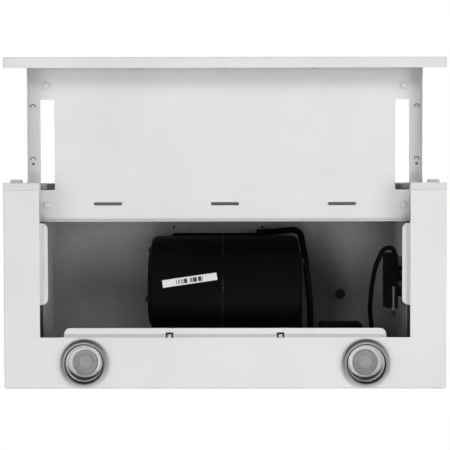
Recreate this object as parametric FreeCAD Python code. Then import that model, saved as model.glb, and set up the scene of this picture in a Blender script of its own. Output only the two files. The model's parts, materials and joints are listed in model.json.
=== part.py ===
import FreeCAD, Part
import math
import os

from FreeCAD import Vector

# Telescopic range hood, millimetres. X runs to the right, Y to the rear wall, Z up.
# The origin is the centre of the four cabinet screws on the seat against the cabinet.

# How far a cut runs past a face, and how deep a screw hole is cut from its seat
PAST = 1.0
HOLE_REACH = 9.0

# Share of a small head's height that is rounded
HEAD_ROUNDING = 0.7

# Sheet and body
SHEET = 1.0
BODY_WIDTH = 600.0
BODY_DEPTH = 280.0
TRAY_HEIGHT = 45.0
SIDE_ARM_WIDTH = 49.0
REAR_STRIP_DEPTH = 70.0
PAN_BEND = 2.5
END_CAP_DEPTH = 10.5
END_CAP_STRIP = 3.0
END_CAP_WALL = 2.0
END_CAP_ROUND = 1.5
END_CAP_SEAM = 0.8
BUMPER_RADIUS = 8.5
BUMPER_INSET = 14.5
BUMPER_GAP = 0.3
LIP_DROP = 11.0
LIP_END_GAP = 4.5

# Ledges and tongues for the filter
LEDGE_RISE = 6.5
LEDGE_SLOPE = 4.0
LEDGE_CORNER = 8.0
SIDE_LEDGE_WIDTH = 10.0
SIDE_LEDGE_LENGTH = 111.0
SIDE_LEDGE_SETBACK = 55.0
REAR_LEDGE_WIDTH = 12.0
REAR_LEDGE_END_GAP = 32.0
LANCE_PITCH = 151.0
LANCE_WIDTH = 10.2
LANCE_LENGTH = 6.7
LANCE_SLIT = 2.5
LANCE_OVERRUN = 0.6

# Cabinet screws
CABINET_INSET_X = 12.0
CABINET_INSET_Y = 30.0
CABINET_HOLE_RADIUS = 2.75

# Visor
VISOR_TRAVEL = 154.0
VISOR_SIDE_GAP = 31.0
VISOR_BEND = 2.0
VISOR_OVERLAP = 53.0
ARM_OVERLAP = 118.0
STRIP_WIDTH = 15.0
WALL_GAP = 9.0
REAR_LIP_DROP = 5.0
LONG_SLOT_WIDTH = 20.0
LONG_SLOT_START = 45.0
LONG_SLOT_END = 9.7
SLOT_CORNER = 2.0
SHORT_SLOT_LENGTH = 39.0
SHORT_SLOT_WIDTH = 4.6
SHORT_SLOT_PITCH = 161.0
SHORT_SLOT_SETBACK = 24.0
GLIDE_RADIUS = 4.4
GLIDE_HEIGHT = 2.2
GLIDE_STEM = 2.2
GLIDE_SETBACK = 22.5
GLIDE_FRONT_SETBACK = 26.0
GLIDE_SHIFT = 1.0
BOSS_RADIUS = 2.9
BOSS_HEIGHT = 1.2
BOSS_SLIT = 1.3
BOSS_INSET = 5.5
FRONT_BOSS_REACH = 104.0
REAR_BOSS_REACH = 32.0
RAIL_HOLE_REACH = 26.0
RAIL_HOLE_RADIUS = 2.0

# Fascia
FASCIA_SIDE_GAP = 1.0
FASCIA_THICKNESS = 10.0
FASCIA_TOP_GAP = 1.0
FASCIA_WALL = 1.4
FASCIA_ROUND = 2.0
FASCIA_GAP = 5.0
FASCIA_LIP = 4.5
FASCIA_SCREW_RISE = 20.0
FASCIA_SCREW_PITCH = 121.0
FASCIA_SCREW_OUTER = 235.0
END_PLATE = 3.0
PLUG_DEPTH = 8.0
PLUG_GAP = 0.2

# Ball slides
RAIL_WALL = 1.2
INNER_RAIL_HALF = 6.5
INNER_RAIL_HEIGHT = 9.0
OUTER_RAIL_HEIGHT = 11.0
SLIDE_HEIGHT = 15.0
BALL_RADIUS = 1.35
BALL_FIT = 0.2
BALL_COUNT = 5
BALL_PITCH = 16.0
BALL_RISE = 6.4
CAGE_WALL = 0.7
CAGE_LENGTH = 80.0
CAGE_START = 8.0
RAIL_END_GAP = 8.0
RAIL_FRONT_GAP = 6.0
RAIL_SIDE_GAP = 0.5
RAIL_SCREW_INSET = 24.0
SLIDE_RIVET_FRONT = 24.0
SLIDE_RIVET_REAR = 32.0

# Motor casing
CASING_SLIDE_GAP = 5.5
CASING_FRONT_SETBACK = 22.0
CASING_REAR_SETBACK = 12.0
CASING_BEND = 3.0
CASING_GAP = 0.4
FRONT_FLANGE = 14.0
REAR_FLANGE = 9.0
RIVET_RADIUS = 1.6
RIVET_HEAD_RADIUS = 3.2
RIVET_HEAD = 1.2
RIVET_FIT = 0.05
CASING_RIVET_INSET = 25.2
CASING_RIVET_COUNT = 4

# Blower
BLOWER_WIDTH = 210.0
BLOWER_WALL = 2.5
BLOWER_ROUND = 5.0
BLOWER_LIFT = 3.0
SCROLL_RADIUS = 70.0
SCROLL_STEP = 5.0
SCROLL_Y = 8.0
SCROLL_TOP_GAP = 9.0
SEAM_X = -3.0
SEAM_GAP = 0.4
TONGUE_REACH = 37.0
TONGUE_RISE = 2.25
MOUTH_X = -11.0
MOUTH_WIDTH = 114.0
MOUTH_FLANGE = 8.5
MOUTH_LIP = 4.0
FLANGE_THICKNESS = 3.5
INLET_LIP = 1.0
AXIS_SHIFT = 2.0
AXIS_DROP = 6.5
CLIP_WIDTH = 21.0
CLIP_LENGTH = 11.0
CLIP_HEIGHT = 2.4
CLIP_ANGLE = 232.0
LABEL_LENGTH = 76.0
LABEL_WIDTH = 10.4
LABEL_THICKNESS = 0.3
LABEL_X = -48.8
LABEL_ANGLE = 259.0
LABEL_TURN = 8.3
LEAD_BOSS_WIDTH = 10.0
LEAD_BOSS_DEPTH = 10.0
LEAD_BOSS_X = 56.0
LEAD_BOSS_DROP = 8.0
LEAD_BOSS_ROUND = 4.5

# Inlet guards
GUARD_FLANGE = 4.5
GUARD_THICKNESS = 3.0
GUARD_WALL = 2.5
GUARD_PLUG = 4.0
GUARD_FIT = 0.2
GUARD_BAR = 3.0
GUARD_HUB = 11.0
GUARD_RING = 29.0
GUARD_EAR_OFFSET = 7.0
GUARD_EAR_RADIUS = 5.0
GUARD_EAR_HEIGHT = 4.0
LEFT_EAR_ANGLES = (163.0, 283.0, 43.0)
RIGHT_EAR_ANGLES = (223.0, 343.0, 103.0)

# Motor and impellers
MOTOR_RADIUS = 40.0
MOTOR_LENGTH = 62.0
MOTOR_WALL = 2.0
MOTOR_GAP = 0.2
STATOR_BORE = 23.0
STATOR_LENGTH = 34.0
ROTOR_AIR_GAP = 0.6
BEARING_RADIUS = 9.0
BEARING_LENGTH = 8.0
SHAFT_RADIUS = 4.0
SHAFT_FIT = 0.05
SPIDER_WALL = 3.0
SPIDER_WIDTH = 14.0
SPIDER_ARM = 10.0
SPIDER_ANGLES = (165.0, 270.0, 15.0)
IMPELLER_GAP = 3.0
IMPELLER_END_GAP = 5.0
IMPELLER_MOTOR_GAP = 5.5
IMPELLER_PLATE = 2.0
IMPELLER_RIM = 4.0
IMPELLER_HUB = 10.0
IMPELLER_HUB_LENGTH = 16.0
BLADE_COUNT = 30
BLADE_DEPTH = 8.0
BLADE_INSET = 0.5
BLADE_THICKNESS = 1.2
BLADE_BOW = 5.2

# Outlet
SPIGOT_RADIUS = 60.0
SPIGOT_WALL = 2.5
SPIGOT_LENGTH = 45.0
SPIGOT_MARGIN = 16.0
SPIGOT_FLANGE_THICKNESS = 3.0
SPIGOT_CORNER = 12.0
SPIGOT_SCREW_INSET = 10.0
SEAT_WIDTH = 3.0
SEAT_HEIGHT = 3.0
FLAP_THICKNESS = 1.6
FLAP_EDGE_GAP = 1.0
FLAP_SEAT_GAP = 0.3
FLAP_PIN_RADIUS = 2.0
FLAP_PIN_RISE = 12.0
FLAP_FIT = 0.08
KNUCKLE_WALL = 1.6
KNUCKLE_GAP = 0.6
KNUCKLE_CLEAR = 0.4
CENTRE_KNUCKLE = 40.0
SIDE_KNUCKLE = 26.0
BEAM_RADIUS = 3.6
BEAM_LENGTH = 5.0

# Screws
SCREW_RADIUS = 1.8
SCREW_HEAD_RADIUS = 3.5
SCREW_HEAD = 2.2
SCREW_FIT = 0.05
SCREW_RECESS = 0.9
SCREW_RECESS_DEPTH = 1.2

# Lamps
LAMP_SIDE_INSET = 109.0
BEZEL_RIM = 4.2
BEZEL_DROP = 5.4
BEZEL_EDGE = 1.0
BEZEL_STEPS = 6
BEZEL_COLLAR = 10.0
BEZEL_WALL = 0.8
LENS_RADIUS = 27.8
LENS_EDGE = 2.0
LENS_DOME = 0.5
LENS_LIP = 1.4
LENS_STEPS = 6
LENS_FIT = 0.2
REFLECTOR_NECK = 17.2
REFLECTOR_HEIGHT = 13.0
REFLECTOR_WALL = 0.8
REFLECTOR_STEPS = 8
BULB_RADIUS = 16.6
BULB_LENGTH = 10.0
BULB_ROUND = 2.5
HOLDER_RADIUS = 19.5
HOLDER_HEIGHT = 14.0
HOLDER_SOCKET = 8.0
HOLDER_ROUND = 2.0
LAMP_SPRING_WIDTH = 9.0
LAMP_SPRING_THICKNESS = 0.8
LAMP_SPRING_HEIGHT = 8.0

# Switch block
SWITCH_WALL_GAP = 15.5
SWITCH_WIDTH = 17.5
SWITCH_FRONT_Y = -42.0
SWITCH_LENGTH = 76.0
SWITCH_LIFT = 5.0
SWITCH_HEIGHT = 28.0
SWITCH_ROUND = 1.2
PLUNGER_SIZE = 6.4
PLUNGER_SETBACKS = (22.0, 36.0, 57.5)
PLUNGER_RISE = 16.0
PLUNGER_DEPTH = 8.0
PLUNGER_FIT = 0.25
PLUNGER_TRAVEL = 3.0
BRACKET_THICKNESS = 1.5
BRACKET_UPSTAND = 16.0
BRACKET_MARGIN = 5.0
BRACKET_SCREW_PITCH = 50.0
ROD_RADIUS = 1.7
ROD_INSET = 11.4
ROD_SETBACK = 46.0
ROD_REACH = 11.0
ROD_HEAD_RADIUS = 2.5
ROD_HEAD = 2.4
ROD_RISE = 1.1
SPRING_WIRE = 0.9
SPRING_TURNS = 5
SPRING_RADIUS = 2.5
SPRING_LENGTH = 8.0

# Terminal box
BOX_SIDE_GAP = 55.0
BOX_REAR_GAP = 3.0
BOX_HEIGHT = 41.0
BOX_WALL = 2.0
LID_THICKNESS = 2.0
CAPACITOR_RADIUS = 12.0
CAPACITOR_LENGTH = 42.0
CAPACITOR_ROUND = 1.5
BLOCK_WIDTH = 14.0
BLOCK_LENGTH = 40.0
BLOCK_HEIGHT = 13.0
BOX_PIECE_GAP = 6.0

# Gland
GLAND_SIDE_GAP = 83.4
GLAND_Y = 25.8
GLAND_RADIUS = 5.7
GLAND_FLANGE = 7.4
GLAND_BORE = 4.2
GLAND_THICKNESS = 2.5
GLAND_MEMBRANE = 0.8
GLAND_FIT = 0.1
EMBOSS_RADIUS = 14.0
EMBOSS_HEIGHT = 1.2

# Leads
MOTOR_LEAD_RADIUS = 4.5
SWITCH_LEAD_RADIUS = 3.2
LAMP_LEAD_RADIUS = 2.4
CLIP_WALL = 1.6
CLIP_DEPTH = 8.0
CLIP_FIT = 0.1
LAMP_LEAD_GAP = 4.0
LEAD_CLIP_XS = (-120.0, 0.0, 100.0)

# Places worked out from the sizes above
SIDE_X = BODY_WIDTH / 2
FRONT_Y = -BODY_DEPTH / 2
REAR_Y = BODY_DEPTH / 2
BOTTOM_Z = -TRAY_HEIGHT
FLOOR_Z = BOTTOM_Z + SHEET
PLATE_Z = -SHEET
OPEN_X = SIDE_X - SIDE_ARM_WIDTH
OPEN_REAR_Y = REAR_Y - REAR_STRIP_DEPTH
CAP_REAR_Y = FRONT_Y + END_CAP_DEPTH

VISOR_X = SIDE_X - VISOR_SIDE_GAP
VISOR_TOP_Z = PLATE_Z - SLIDE_HEIGHT
VISOR_Z = VISOR_TOP_Z - SHEET
WALL_Z = BOTTOM_Z + END_CAP_STRIP + WALL_GAP
STRIP_X = VISOR_X - STRIP_WIDTH
FASCIA_REAR_Y = FRONT_Y - VISOR_TRAVEL - FASCIA_GAP
VISOR_REAR_Y = FRONT_Y + VISOR_OVERLAP
ARM_REAR_Y = FRONT_Y + ARM_OVERLAP
SLIDE_X = VISOR_X - STRIP_WIDTH / 2
OUTER_RAIL_HALF = INNER_RAIL_HALF + 2 * (BALL_RADIUS + BALL_FIT) + RAIL_WALL
GLIDE_X = STRIP_X - LONG_SLOT_WIDTH / 2 + GLIDE_SHIFT
CAP_BLOCK_X = SLIDE_X + OUTER_RAIL_HALF + RAIL_SIDE_GAP
RAIL_INNER_X = SLIDE_X - OUTER_RAIL_HALF - RAIL_SIDE_GAP
BUMPER_THICKNESS = FASCIA_GAP - BUMPER_GAP
FASCIA_X = SIDE_X - FASCIA_SIDE_GAP
FASCIA_HEIGHT = TRAY_HEIGHT - FASCIA_TOP_GAP

CASING_X = SLIDE_X - CASING_SLIDE_GAP
CASING_FRONT_Y = FRONT_Y + CASING_FRONT_SETBACK
CASING_REAR_Y = REAR_Y - CASING_REAR_SETBACK
WALL_X = CASING_X - SHEET
REAR_WALL_Y = CASING_REAR_Y - SHEET

SCROLL_Z = VISOR_TOP_Z + BLOWER_LIFT + SCROLL_RADIUS
SCROLL_FRONT_Y = SCROLL_Y - SCROLL_RADIUS
TONGUE_Y = SCROLL_Y + TONGUE_REACH
LAST_ARC_RADIUS = SCROLL_RADIUS - 2 * SCROLL_STEP
LAST_ARC_Y = SCROLL_Y + SCROLL_STEP
LAST_ARC_Z = SCROLL_Z - SCROLL_STEP
TONGUE_Z = LAST_ARC_Z + math.sqrt(LAST_ARC_RADIUS ** 2 - (TONGUE_Y - LAST_ARC_Y) ** 2)
SCROLL_TOP_Z = TONGUE_Z + TONGUE_RISE
CEILING_Z = SCROLL_TOP_Z + SCROLL_TOP_GAP
CASING_HEIGHT = CEILING_Z + SHEET
BLOWER_X = BLOWER_WIDTH / 2
AXIS_Y = SCROLL_Y + AXIS_SHIFT
AXIS_Z = SCROLL_Z - AXIS_DROP
MOUTH_Y = (SCROLL_FRONT_Y + TONGUE_Y) / 2
MOTOR_X = SEAM_X
IMPELLER_RADIUS = SCROLL_TOP_Z - BLOWER_WALL - AXIS_Z - IMPELLER_GAP
IMPELLER_BORE = IMPELLER_RADIUS - BLADE_DEPTH
INLET_RADIUS = IMPELLER_RADIUS - INLET_LIP
GUARD_EAR_REACH = INLET_RADIUS + GUARD_EAR_OFFSET
SHAFT_REACH = BLOWER_X - BLOWER_WALL - IMPELLER_END_GAP
IMPELLER_START = abs(MOTOR_X) + MOTOR_LENGTH / 2 + IMPELLER_MOTOR_GAP

SPIGOT_BORE = SPIGOT_RADIUS - SPIGOT_WALL
SPIGOT_FLANGE = SPIGOT_RADIUS + SPIGOT_MARGIN
SPIGOT_SCREW = SPIGOT_FLANGE - SPIGOT_SCREW_INSET
FLAP_PIN_Z = CASING_HEIGHT + SPIGOT_FLANGE_THICKNESS + FLAP_PIN_RISE
KNUCKLE_RADIUS = FLAP_PIN_RADIUS + FLAP_FIT + KNUCKLE_WALL

LAMP_X = SIDE_X - LAMP_SIDE_INSET
LAMP_Y = (OPEN_REAR_Y + REAR_Y) / 2
COLLAR_RADIUS = LENS_RADIUS + LENS_FIT
BEZEL_RADIUS = COLLAR_RADIUS + BEZEL_WALL + BEZEL_RIM
LAMP_HOLE_RADIUS = COLLAR_RADIUS + BEZEL_WALL + LENS_FIT
LENS_Z = BOTTOM_Z - BEZEL_DROP + LENS_LIP
LENS_TOP_Z = LENS_Z + LENS_EDGE
NECK_Z = LENS_TOP_Z + REFLECTOR_HEIGHT

SWITCH_Z = VISOR_TOP_Z + SWITCH_LIFT
SWITCH_RIGHT_X = WALL_X - SWITCH_WALL_GAP
SWITCH_X = SWITCH_RIGHT_X - SWITCH_WIDTH
SWITCH_REAR_Y = SWITCH_FRONT_Y + SWITCH_LENGTH
SWITCH_TOP_Z = SWITCH_Z + SWITCH_HEIGHT
PLUNGER_Z = SWITCH_Z + PLUNGER_RISE

BOX_WIDTH = 2 * BOX_WALL + BLOCK_WIDTH + 2 * CAPACITOR_RADIUS + 3 * BOX_PIECE_GAP
BOX_LENGTH = 2 * BOX_WALL + max(CAPACITOR_LENGTH, BLOCK_LENGTH) + 2 * BOX_PIECE_GAP
BOX_RIGHT_X = WALL_X - BOX_SIDE_GAP
BOX_LEFT_X = BOX_RIGHT_X - BOX_WIDTH
BOX_X = (BOX_LEFT_X + BOX_RIGHT_X) / 2
BOX_REAR_Y = REAR_WALL_Y - BOX_REAR_GAP
BOX_FRONT_Y = BOX_REAR_Y - BOX_LENGTH
BOX_BOTTOM_Z = CEILING_Z - BOX_HEIGHT
GLAND_X = WALL_X - GLAND_SIDE_GAP

X_AXIS = Vector(1, 0, 0)
Y_AXIS = Vector(0, 1, 0)
Z_AXIS = Vector(0, 0, 1)


# Helpers

def box(x0, x1, y0, y1, z0, z1):
    return Part.makeBox(x1 - x0, y1 - y0, z1 - z0, Vector(x0, y0, z0))


def rod(radius, start, end):
    return Part.makeCylinder(radius, (end - start).Length, start, end - start)


def ring(outer, inner, start, end):
    return rod(outer, start, end).cut(rod(inner, start, end))


def mirrored(shape):
    return shape.mirror(Vector(0, 0, 0), X_AXIS)


def fused(shapes):
    return shapes[0].multiFuse(shapes[1:]).removeSplitter()


def along(edge, axis):
    ends = edge.Vertexes
    if len(ends) != 2:
        return False
    run = ends[1].Point - ends[0].Point
    return near(run.Length, edge.Length) and abs(run.dot(axis)) > 0.999 * run.Length


def rounded(shape, radius, choose):
    return shape.makeFillet(radius, [edge for edge in shape.Edges if choose(edge, edge.CenterOfMass)])


def upright_rounded(shape, radius):
    return rounded(shape, radius, lambda edge, middle: along(edge, Z_AXIS))


def near(a, b):
    return abs(a - b) < 0.01


def slot(x, y, length, width, z0, z1):
    reach = (length - width) / 2
    pieces = [box(x - reach, x + reach, y - width / 2, y + width / 2, z0, z1)]
    for end_x in (x - reach, x + reach):
        pieces.append(rod(width / 2, Vector(end_x, y, z0), Vector(end_x, y, z1)))
    return fused(pieces)


def turned(points, x, y):
    outline = Part.makePolygon([Vector(x + r, y, z) for r, z in points + points[:1]])
    return Part.Face(outline).revolve(Vector(x, y, 0), Z_AXIS, 360)


def screw_hole(seat, inward):
    return rod(SCREW_RADIUS + SCREW_FIT, seat - inward * PAST, seat + inward * HOLE_REACH)


def rivet_hole(seat):
    return rod(RIVET_RADIUS + RIVET_FIT, seat - Z_AXIS * HOLE_REACH, seat + Z_AXIS * PAST)


def placed_screw(seat, inward, reach):
    # Pan head with a round recess outside the seat, and a shank running inward.
    head = rod(SCREW_HEAD_RADIUS, seat, seat - inward * SCREW_HEAD)
    head = rounded(head, SCREW_HEAD / 2,
                   lambda edge, middle: near((middle - seat).dot(inward), -SCREW_HEAD))
    shank = rod(SCREW_RADIUS, seat, seat + inward * reach)
    top = seat - inward * SCREW_HEAD
    recess = rod(SCREW_RECESS, top, top + inward * SCREW_RECESS_DEPTH)
    return head.fuse(shank).cut(recess).removeSplitter()


def placed_rivet(seat, grip):
    head = rod(RIVET_HEAD_RADIUS, seat, seat + Z_AXIS * RIVET_HEAD)
    head = rounded(head, RIVET_HEAD * HEAD_ROUNDING, lambda edge, middle: near(middle.z, seat.z + RIVET_HEAD))
    return head.fuse(rod(RIVET_RADIUS, seat - Z_AXIS * grip, seat)).removeSplitter()


def save(name, shape):
    solids = shape.Solids
    if not shape.isValid() or not solids:
        print("not valid:", name)
    if len(solids) == 1:
        shape = solids[0]
    shape.exportStep(os.path.join("parts", name + ".step"))
    print(name, len(solids), round(sum(solid.Volume for solid in solids)))


def save_group(name, shapes):
    save(name, Part.makeCompound([solid for shape in shapes for solid in shape.Solids]))


def save_pair(name, right_shape):
    save(name + "_right", right_shape)
    save(name + "_left", mirrored(right_shape))


# Fixing points that two pieces share

def casing_rivet_points():
    reach = RAIL_INNER_X - CASING_RIVET_INSET
    pitch = 2 * reach / (CASING_RIVET_COUNT - 1)
    points = []
    for index in range(CASING_RIVET_COUNT):
        x = pitch * index - reach
        points.append(Vector(x, CASING_FRONT_Y - FRONT_FLANGE / 2, 0))
        points.append(Vector(x, CASING_REAR_Y + REAR_FLANGE / 2, 0))
    return points


def slide_rivet_points():
    first = CAP_REAR_Y + SLIDE_RIVET_FRONT
    last = REAR_Y - SLIDE_RIVET_REAR
    return [Vector(x, y, 0) for x in (-SLIDE_X, SLIDE_X) for y in (first, last)]


def cabinet_points():
    reach_x = SIDE_X - CABINET_INSET_X
    reach_y = REAR_Y - CABINET_INSET_Y
    return [Vector(x, y, 0) for x in (-reach_x, reach_x) for y in (-reach_y, reach_y)]


def spigot_screw_points():
    return [Vector(MOUTH_X + x, MOUTH_Y + y, CASING_HEIGHT + SPIGOT_FLANGE_THICKNESS)
            for x in (-SPIGOT_SCREW, SPIGOT_SCREW) for y in (-SPIGOT_SCREW, SPIGOT_SCREW)]


def bracket_screw_points():
    y = (SWITCH_FRONT_Y + SWITCH_REAR_Y) / 2
    z = SWITCH_TOP_Z + BRACKET_UPSTAND / 2
    half = BRACKET_SCREW_PITCH / 2
    return [Vector(CASING_X, y + offset, z) for offset in (-half, half)]


def fascia_screw_points():
    z = BOTTOM_Z + FASCIA_SCREW_RISE
    xs = (-FASCIA_SCREW_OUTER, -FASCIA_SCREW_PITCH, 0.0, FASCIA_SCREW_PITCH, FASCIA_SCREW_OUTER)
    return [Vector(x, FASCIA_REAR_Y + SHEET, z) for x in xs]


def box_screw_points():
    inset = BOX_WALL + BOX_PIECE_GAP
    return [Vector(BOX_X, y, CASING_HEIGHT) for y in (BOX_FRONT_Y + inset, BOX_REAR_Y - inset)]


def plunger_ys():
    return [SWITCH_FRONT_Y + setback for setback in PLUNGER_SETBACKS]


# Lower pan: side arms, rear strip, walls, filter ledges

def ledge(width, length, profile_at, corners):
    points = [profile_at(0, 0), profile_at(LEDGE_SLOPE, LEDGE_RISE), profile_at(width, LEDGE_RISE)]
    points += [profile_at(width, LEDGE_RISE + SHEET), profile_at(LEDGE_SLOPE, LEDGE_RISE + SHEET)]
    points.append(profile_at(0, SHEET))
    face = Part.Face(Part.makePolygon(points + points[:1]))
    return face.extrude(length).common(corners)


def rear_ledge():
    half = OPEN_X - REAR_LEDGE_END_GAP
    front = OPEN_REAR_Y - REAR_LEDGE_WIDTH
    corners = rounded(box(-half, half, front, OPEN_REAR_Y, BOTTOM_Z, 0), LEDGE_CORNER,
                      lambda edge, middle: along(edge, Z_AXIS) and near(middle.y, front))
    return ledge(REAR_LEDGE_WIDTH, Vector(2 * half, 0, 0),
                 lambda run, rise: Vector(-half, OPEN_REAR_Y - run, BOTTOM_Z + rise), corners)


def side_ledge():
    inner = OPEN_X - SIDE_LEDGE_WIDTH
    start = FRONT_Y + SIDE_LEDGE_SETBACK
    corners = rounded(box(inner, OPEN_X, start, start + SIDE_LEDGE_LENGTH, BOTTOM_Z, 0), LEDGE_CORNER,
                      lambda edge, middle: along(edge, Z_AXIS) and near(middle.x, inner))
    return ledge(SIDE_LEDGE_WIDTH, Vector(0, SIDE_LEDGE_LENGTH, 0),
                 lambda run, rise: Vector(OPEN_X - run, start, BOTTOM_Z + rise), corners)


def lance(x):
    y1 = OPEN_REAR_Y + LANCE_OVERRUN
    y0 = y1 - LANCE_LENGTH
    half = LANCE_WIDTH / 2
    slit = box(x - half, x + half, y0, y1, BOTTOM_Z - PAST, 0)
    inner = half - LANCE_SLIT
    tongue = box(x - inner, x + inner, y0 + LANCE_SLIT, y1 + PAST, BOTTOM_Z - PAST, 0)
    return slit.cut(tongue)


def pan_bends(tray, radius, floor_z, rear_y):
    # Rounds the floor's side and rear edges and the two rear corners.
    return rounded(tray, radius, lambda edge, middle: (near(middle.z, floor_z) and middle.y > CAP_REAR_Y)
                   or (along(edge, Z_AXIS) and near(middle.y, rear_y)))


def lower_pan():
    outer = box(-SIDE_X, SIDE_X, CAP_REAR_Y, REAR_Y, BOTTOM_Z, PLATE_Z)
    outer = pan_bends(outer, PAN_BEND, BOTTOM_Z, REAR_Y)
    inner_x = SIDE_X - SHEET
    inner_y = REAR_Y - SHEET
    inner = box(-inner_x, inner_x, CAP_REAR_Y - PAST, inner_y, FLOOR_Z, PLATE_Z + PAST)
    inner = pan_bends(inner, PAN_BEND - SHEET, FLOOR_Z, inner_y)
    opening = box(-OPEN_X, OPEN_X, CAP_REAR_Y - PAST, OPEN_REAR_Y, BOTTOM_Z - PAST, FLOOR_Z + PAST)
    pan = outer.cut(inner).cut(opening)
    pan = fused([pan, rear_ledge(), side_ledge(), mirrored(side_ledge())])
    for x in (-LAMP_X, LAMP_X):
        low = Vector(x, LAMP_Y, BOTTOM_Z - PAST)
        high = Vector(x, LAMP_Y, FLOOR_Z + PAST)
        pan = pan.cut(rod(LAMP_HOLE_RADIUS, low, high))
    for x in (-LANCE_PITCH / 2, LANCE_PITCH / 2):
        pan = pan.cut(lance(x))
    return pan


def end_cap():
    block = box(CAP_BLOCK_X, SIDE_X, FRONT_Y, CAP_REAR_Y, BOTTOM_Z, PLATE_Z)
    strip = box(OPEN_X, SIDE_X, FRONT_Y, CAP_REAR_Y, BOTTOM_Z, BOTTOM_Z + END_CAP_STRIP)
    cap = fused([block, strip])
    cap = rounded(cap, END_CAP_ROUND, lambda edge, middle: near(middle.y, FRONT_Y)
                  and (near(middle.z, BOTTOM_Z) or near(middle.x, SIDE_X)))
    cap = rounded(cap, END_CAP_SEAM, lambda edge, middle: near(middle.y, CAP_REAR_Y)
                  and near(middle.z, BOTTOM_Z))
    pocket = box(CAP_BLOCK_X + END_CAP_WALL, SIDE_X - END_CAP_WALL, FRONT_Y + END_CAP_WALL, CAP_REAR_Y + PAST,
                 BOTTOM_Z + END_CAP_STRIP, PLATE_Z - END_CAP_WALL)
    tongue_x = SIDE_X - SHEET - PLUG_GAP
    tongue = box(tongue_x - END_CAP_WALL, tongue_x, FRONT_Y + END_CAP_WALL, CAP_REAR_Y + PLUG_DEPTH,
                 BOTTOM_Z + END_CAP_STRIP + PAN_BEND, PLATE_Z - END_CAP_WALL)
    return fused([cap.cut(pocket), tongue])


def bumpers():
    x = SIDE_X - BUMPER_INSET
    z = (BOTTOM_Z + PLATE_Z) / 2
    front = FRONT_Y - BUMPER_THICKNESS
    pads = []
    for side in (-x, x):
        pad = rod(BUMPER_RADIUS, Vector(side, FRONT_Y, z), Vector(side, front, z))
        pads.append(rounded(pad, BUMPER_THICKNESS / 2, lambda edge, middle: near(middle.y, front)))
    return pads


# Top plate that seats against the cabinet

def top_plate():
    plate = upright_rounded(box(-SIDE_X, SIDE_X, FRONT_Y, REAR_Y, PLATE_Z, 0), PAN_BEND)
    lip_x = RAIL_INNER_X - LIP_END_GAP
    plate = plate.fuse(box(-lip_x, lip_x, FRONT_Y, FRONT_Y + SHEET, PLATE_Z - LIP_DROP, PLATE_Z))
    window_x = CASING_X + CASING_GAP
    window = box(-window_x, window_x, CASING_FRONT_Y - CASING_GAP, CASING_REAR_Y + CASING_GAP,
                 PLATE_Z - PAST, PAST)
    plate = plate.cut(upright_rounded(window, CASING_BEND))
    for point in cabinet_points():
        plate = plate.cut(rod(CABINET_HOLE_RADIUS, point - Z_AXIS * 2 * SHEET, point + Z_AXIS * PAST))
    for point in casing_rivet_points() + slide_rivet_points():
        plate = plate.cut(rivet_hole(point))
    return plate.removeSplitter()


def casing_bends(block, radius, top_z):
    return rounded(block, radius, lambda edge, middle: along(edge, Z_AXIS) or near(middle.z, top_z))


def casing_shell():
    flange_z = PLATE_Z - SHEET
    outer = box(-CASING_X, CASING_X, CASING_FRONT_Y, CASING_REAR_Y, PLATE_Z, CASING_HEIGHT)
    outer = casing_bends(outer, CASING_BEND, CASING_HEIGHT)
    inner = box(-WALL_X, WALL_X, CASING_FRONT_Y + SHEET, REAR_WALL_Y, flange_z - PAST, CEILING_Z)
    inner = casing_bends(inner, CASING_BEND - SHEET, CEILING_Z)
    flange_x = RAIL_INNER_X
    front = box(-flange_x, flange_x, CASING_FRONT_Y - FRONT_FLANGE, CASING_FRONT_Y + SHEET, flange_z, PLATE_Z)
    rear = box(-flange_x, flange_x, REAR_WALL_Y, CASING_REAR_Y + REAR_FLANGE, flange_z, PLATE_Z)
    emboss_top = Vector(GLAND_X, GLAND_Y, CEILING_Z)
    emboss = rod(EMBOSS_RADIUS, emboss_top - Z_AXIS * EMBOSS_HEIGHT, emboss_top)
    emboss_low_z = CEILING_Z - EMBOSS_HEIGHT
    emboss = rounded(emboss, EMBOSS_HEIGHT * HEAD_ROUNDING, lambda edge, middle: near(middle.z, emboss_low_z))
    casing = fused([outer.cut(inner), front, rear, emboss])
    gland_low = emboss_top - Z_AXIS * (EMBOSS_HEIGHT + PAST)
    casing = casing.cut(rod(GLAND_RADIUS + GLAND_FIT, gland_low, emboss_top + Z_AXIS * (SHEET + PAST)))
    outlet_low = outlet_point(CEILING_Z - PAST)
    casing = casing.cut(rod(SPIGOT_BORE - SEAT_WIDTH, outlet_low, outlet_point(CASING_HEIGHT + PAST)))
    for point in casing_rivet_points():
        casing = casing.cut(rivet_hole(point))
    for point in spigot_screw_points() + box_screw_points():
        casing = casing.cut(screw_hole(point, -Z_AXIS))
    for point in bracket_screw_points():
        casing = casing.cut(screw_hole(point, -X_AXIS))
    for y in plunger_ys():
        casing = casing.cut(plunger_box(y, WALL_X - PAST, CASING_X + PAST, PLUNGER_FIT))
    return casing


def motor_casing():
    # The walls and the top panel, whose rolled edge stands on the walls.
    shell = casing_shell()
    far = BODY_WIDTH
    seam_z = CASING_HEIGHT - CASING_BEND
    walls = shell.common(box(-far, far, -far, far, -far, seam_z))
    top = shell.common(box(-far, far, -far, far, seam_z, far))
    return walls, top


def body_rivets():
    rivets = [placed_rivet(point, 2 * SHEET) for point in casing_rivet_points()]
    return rivets + [placed_rivet(point, SHEET + RAIL_WALL) for point in slide_rivet_points()]


# Ball slides: outer rail under the top plate, inner rail on the visor's arm

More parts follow.
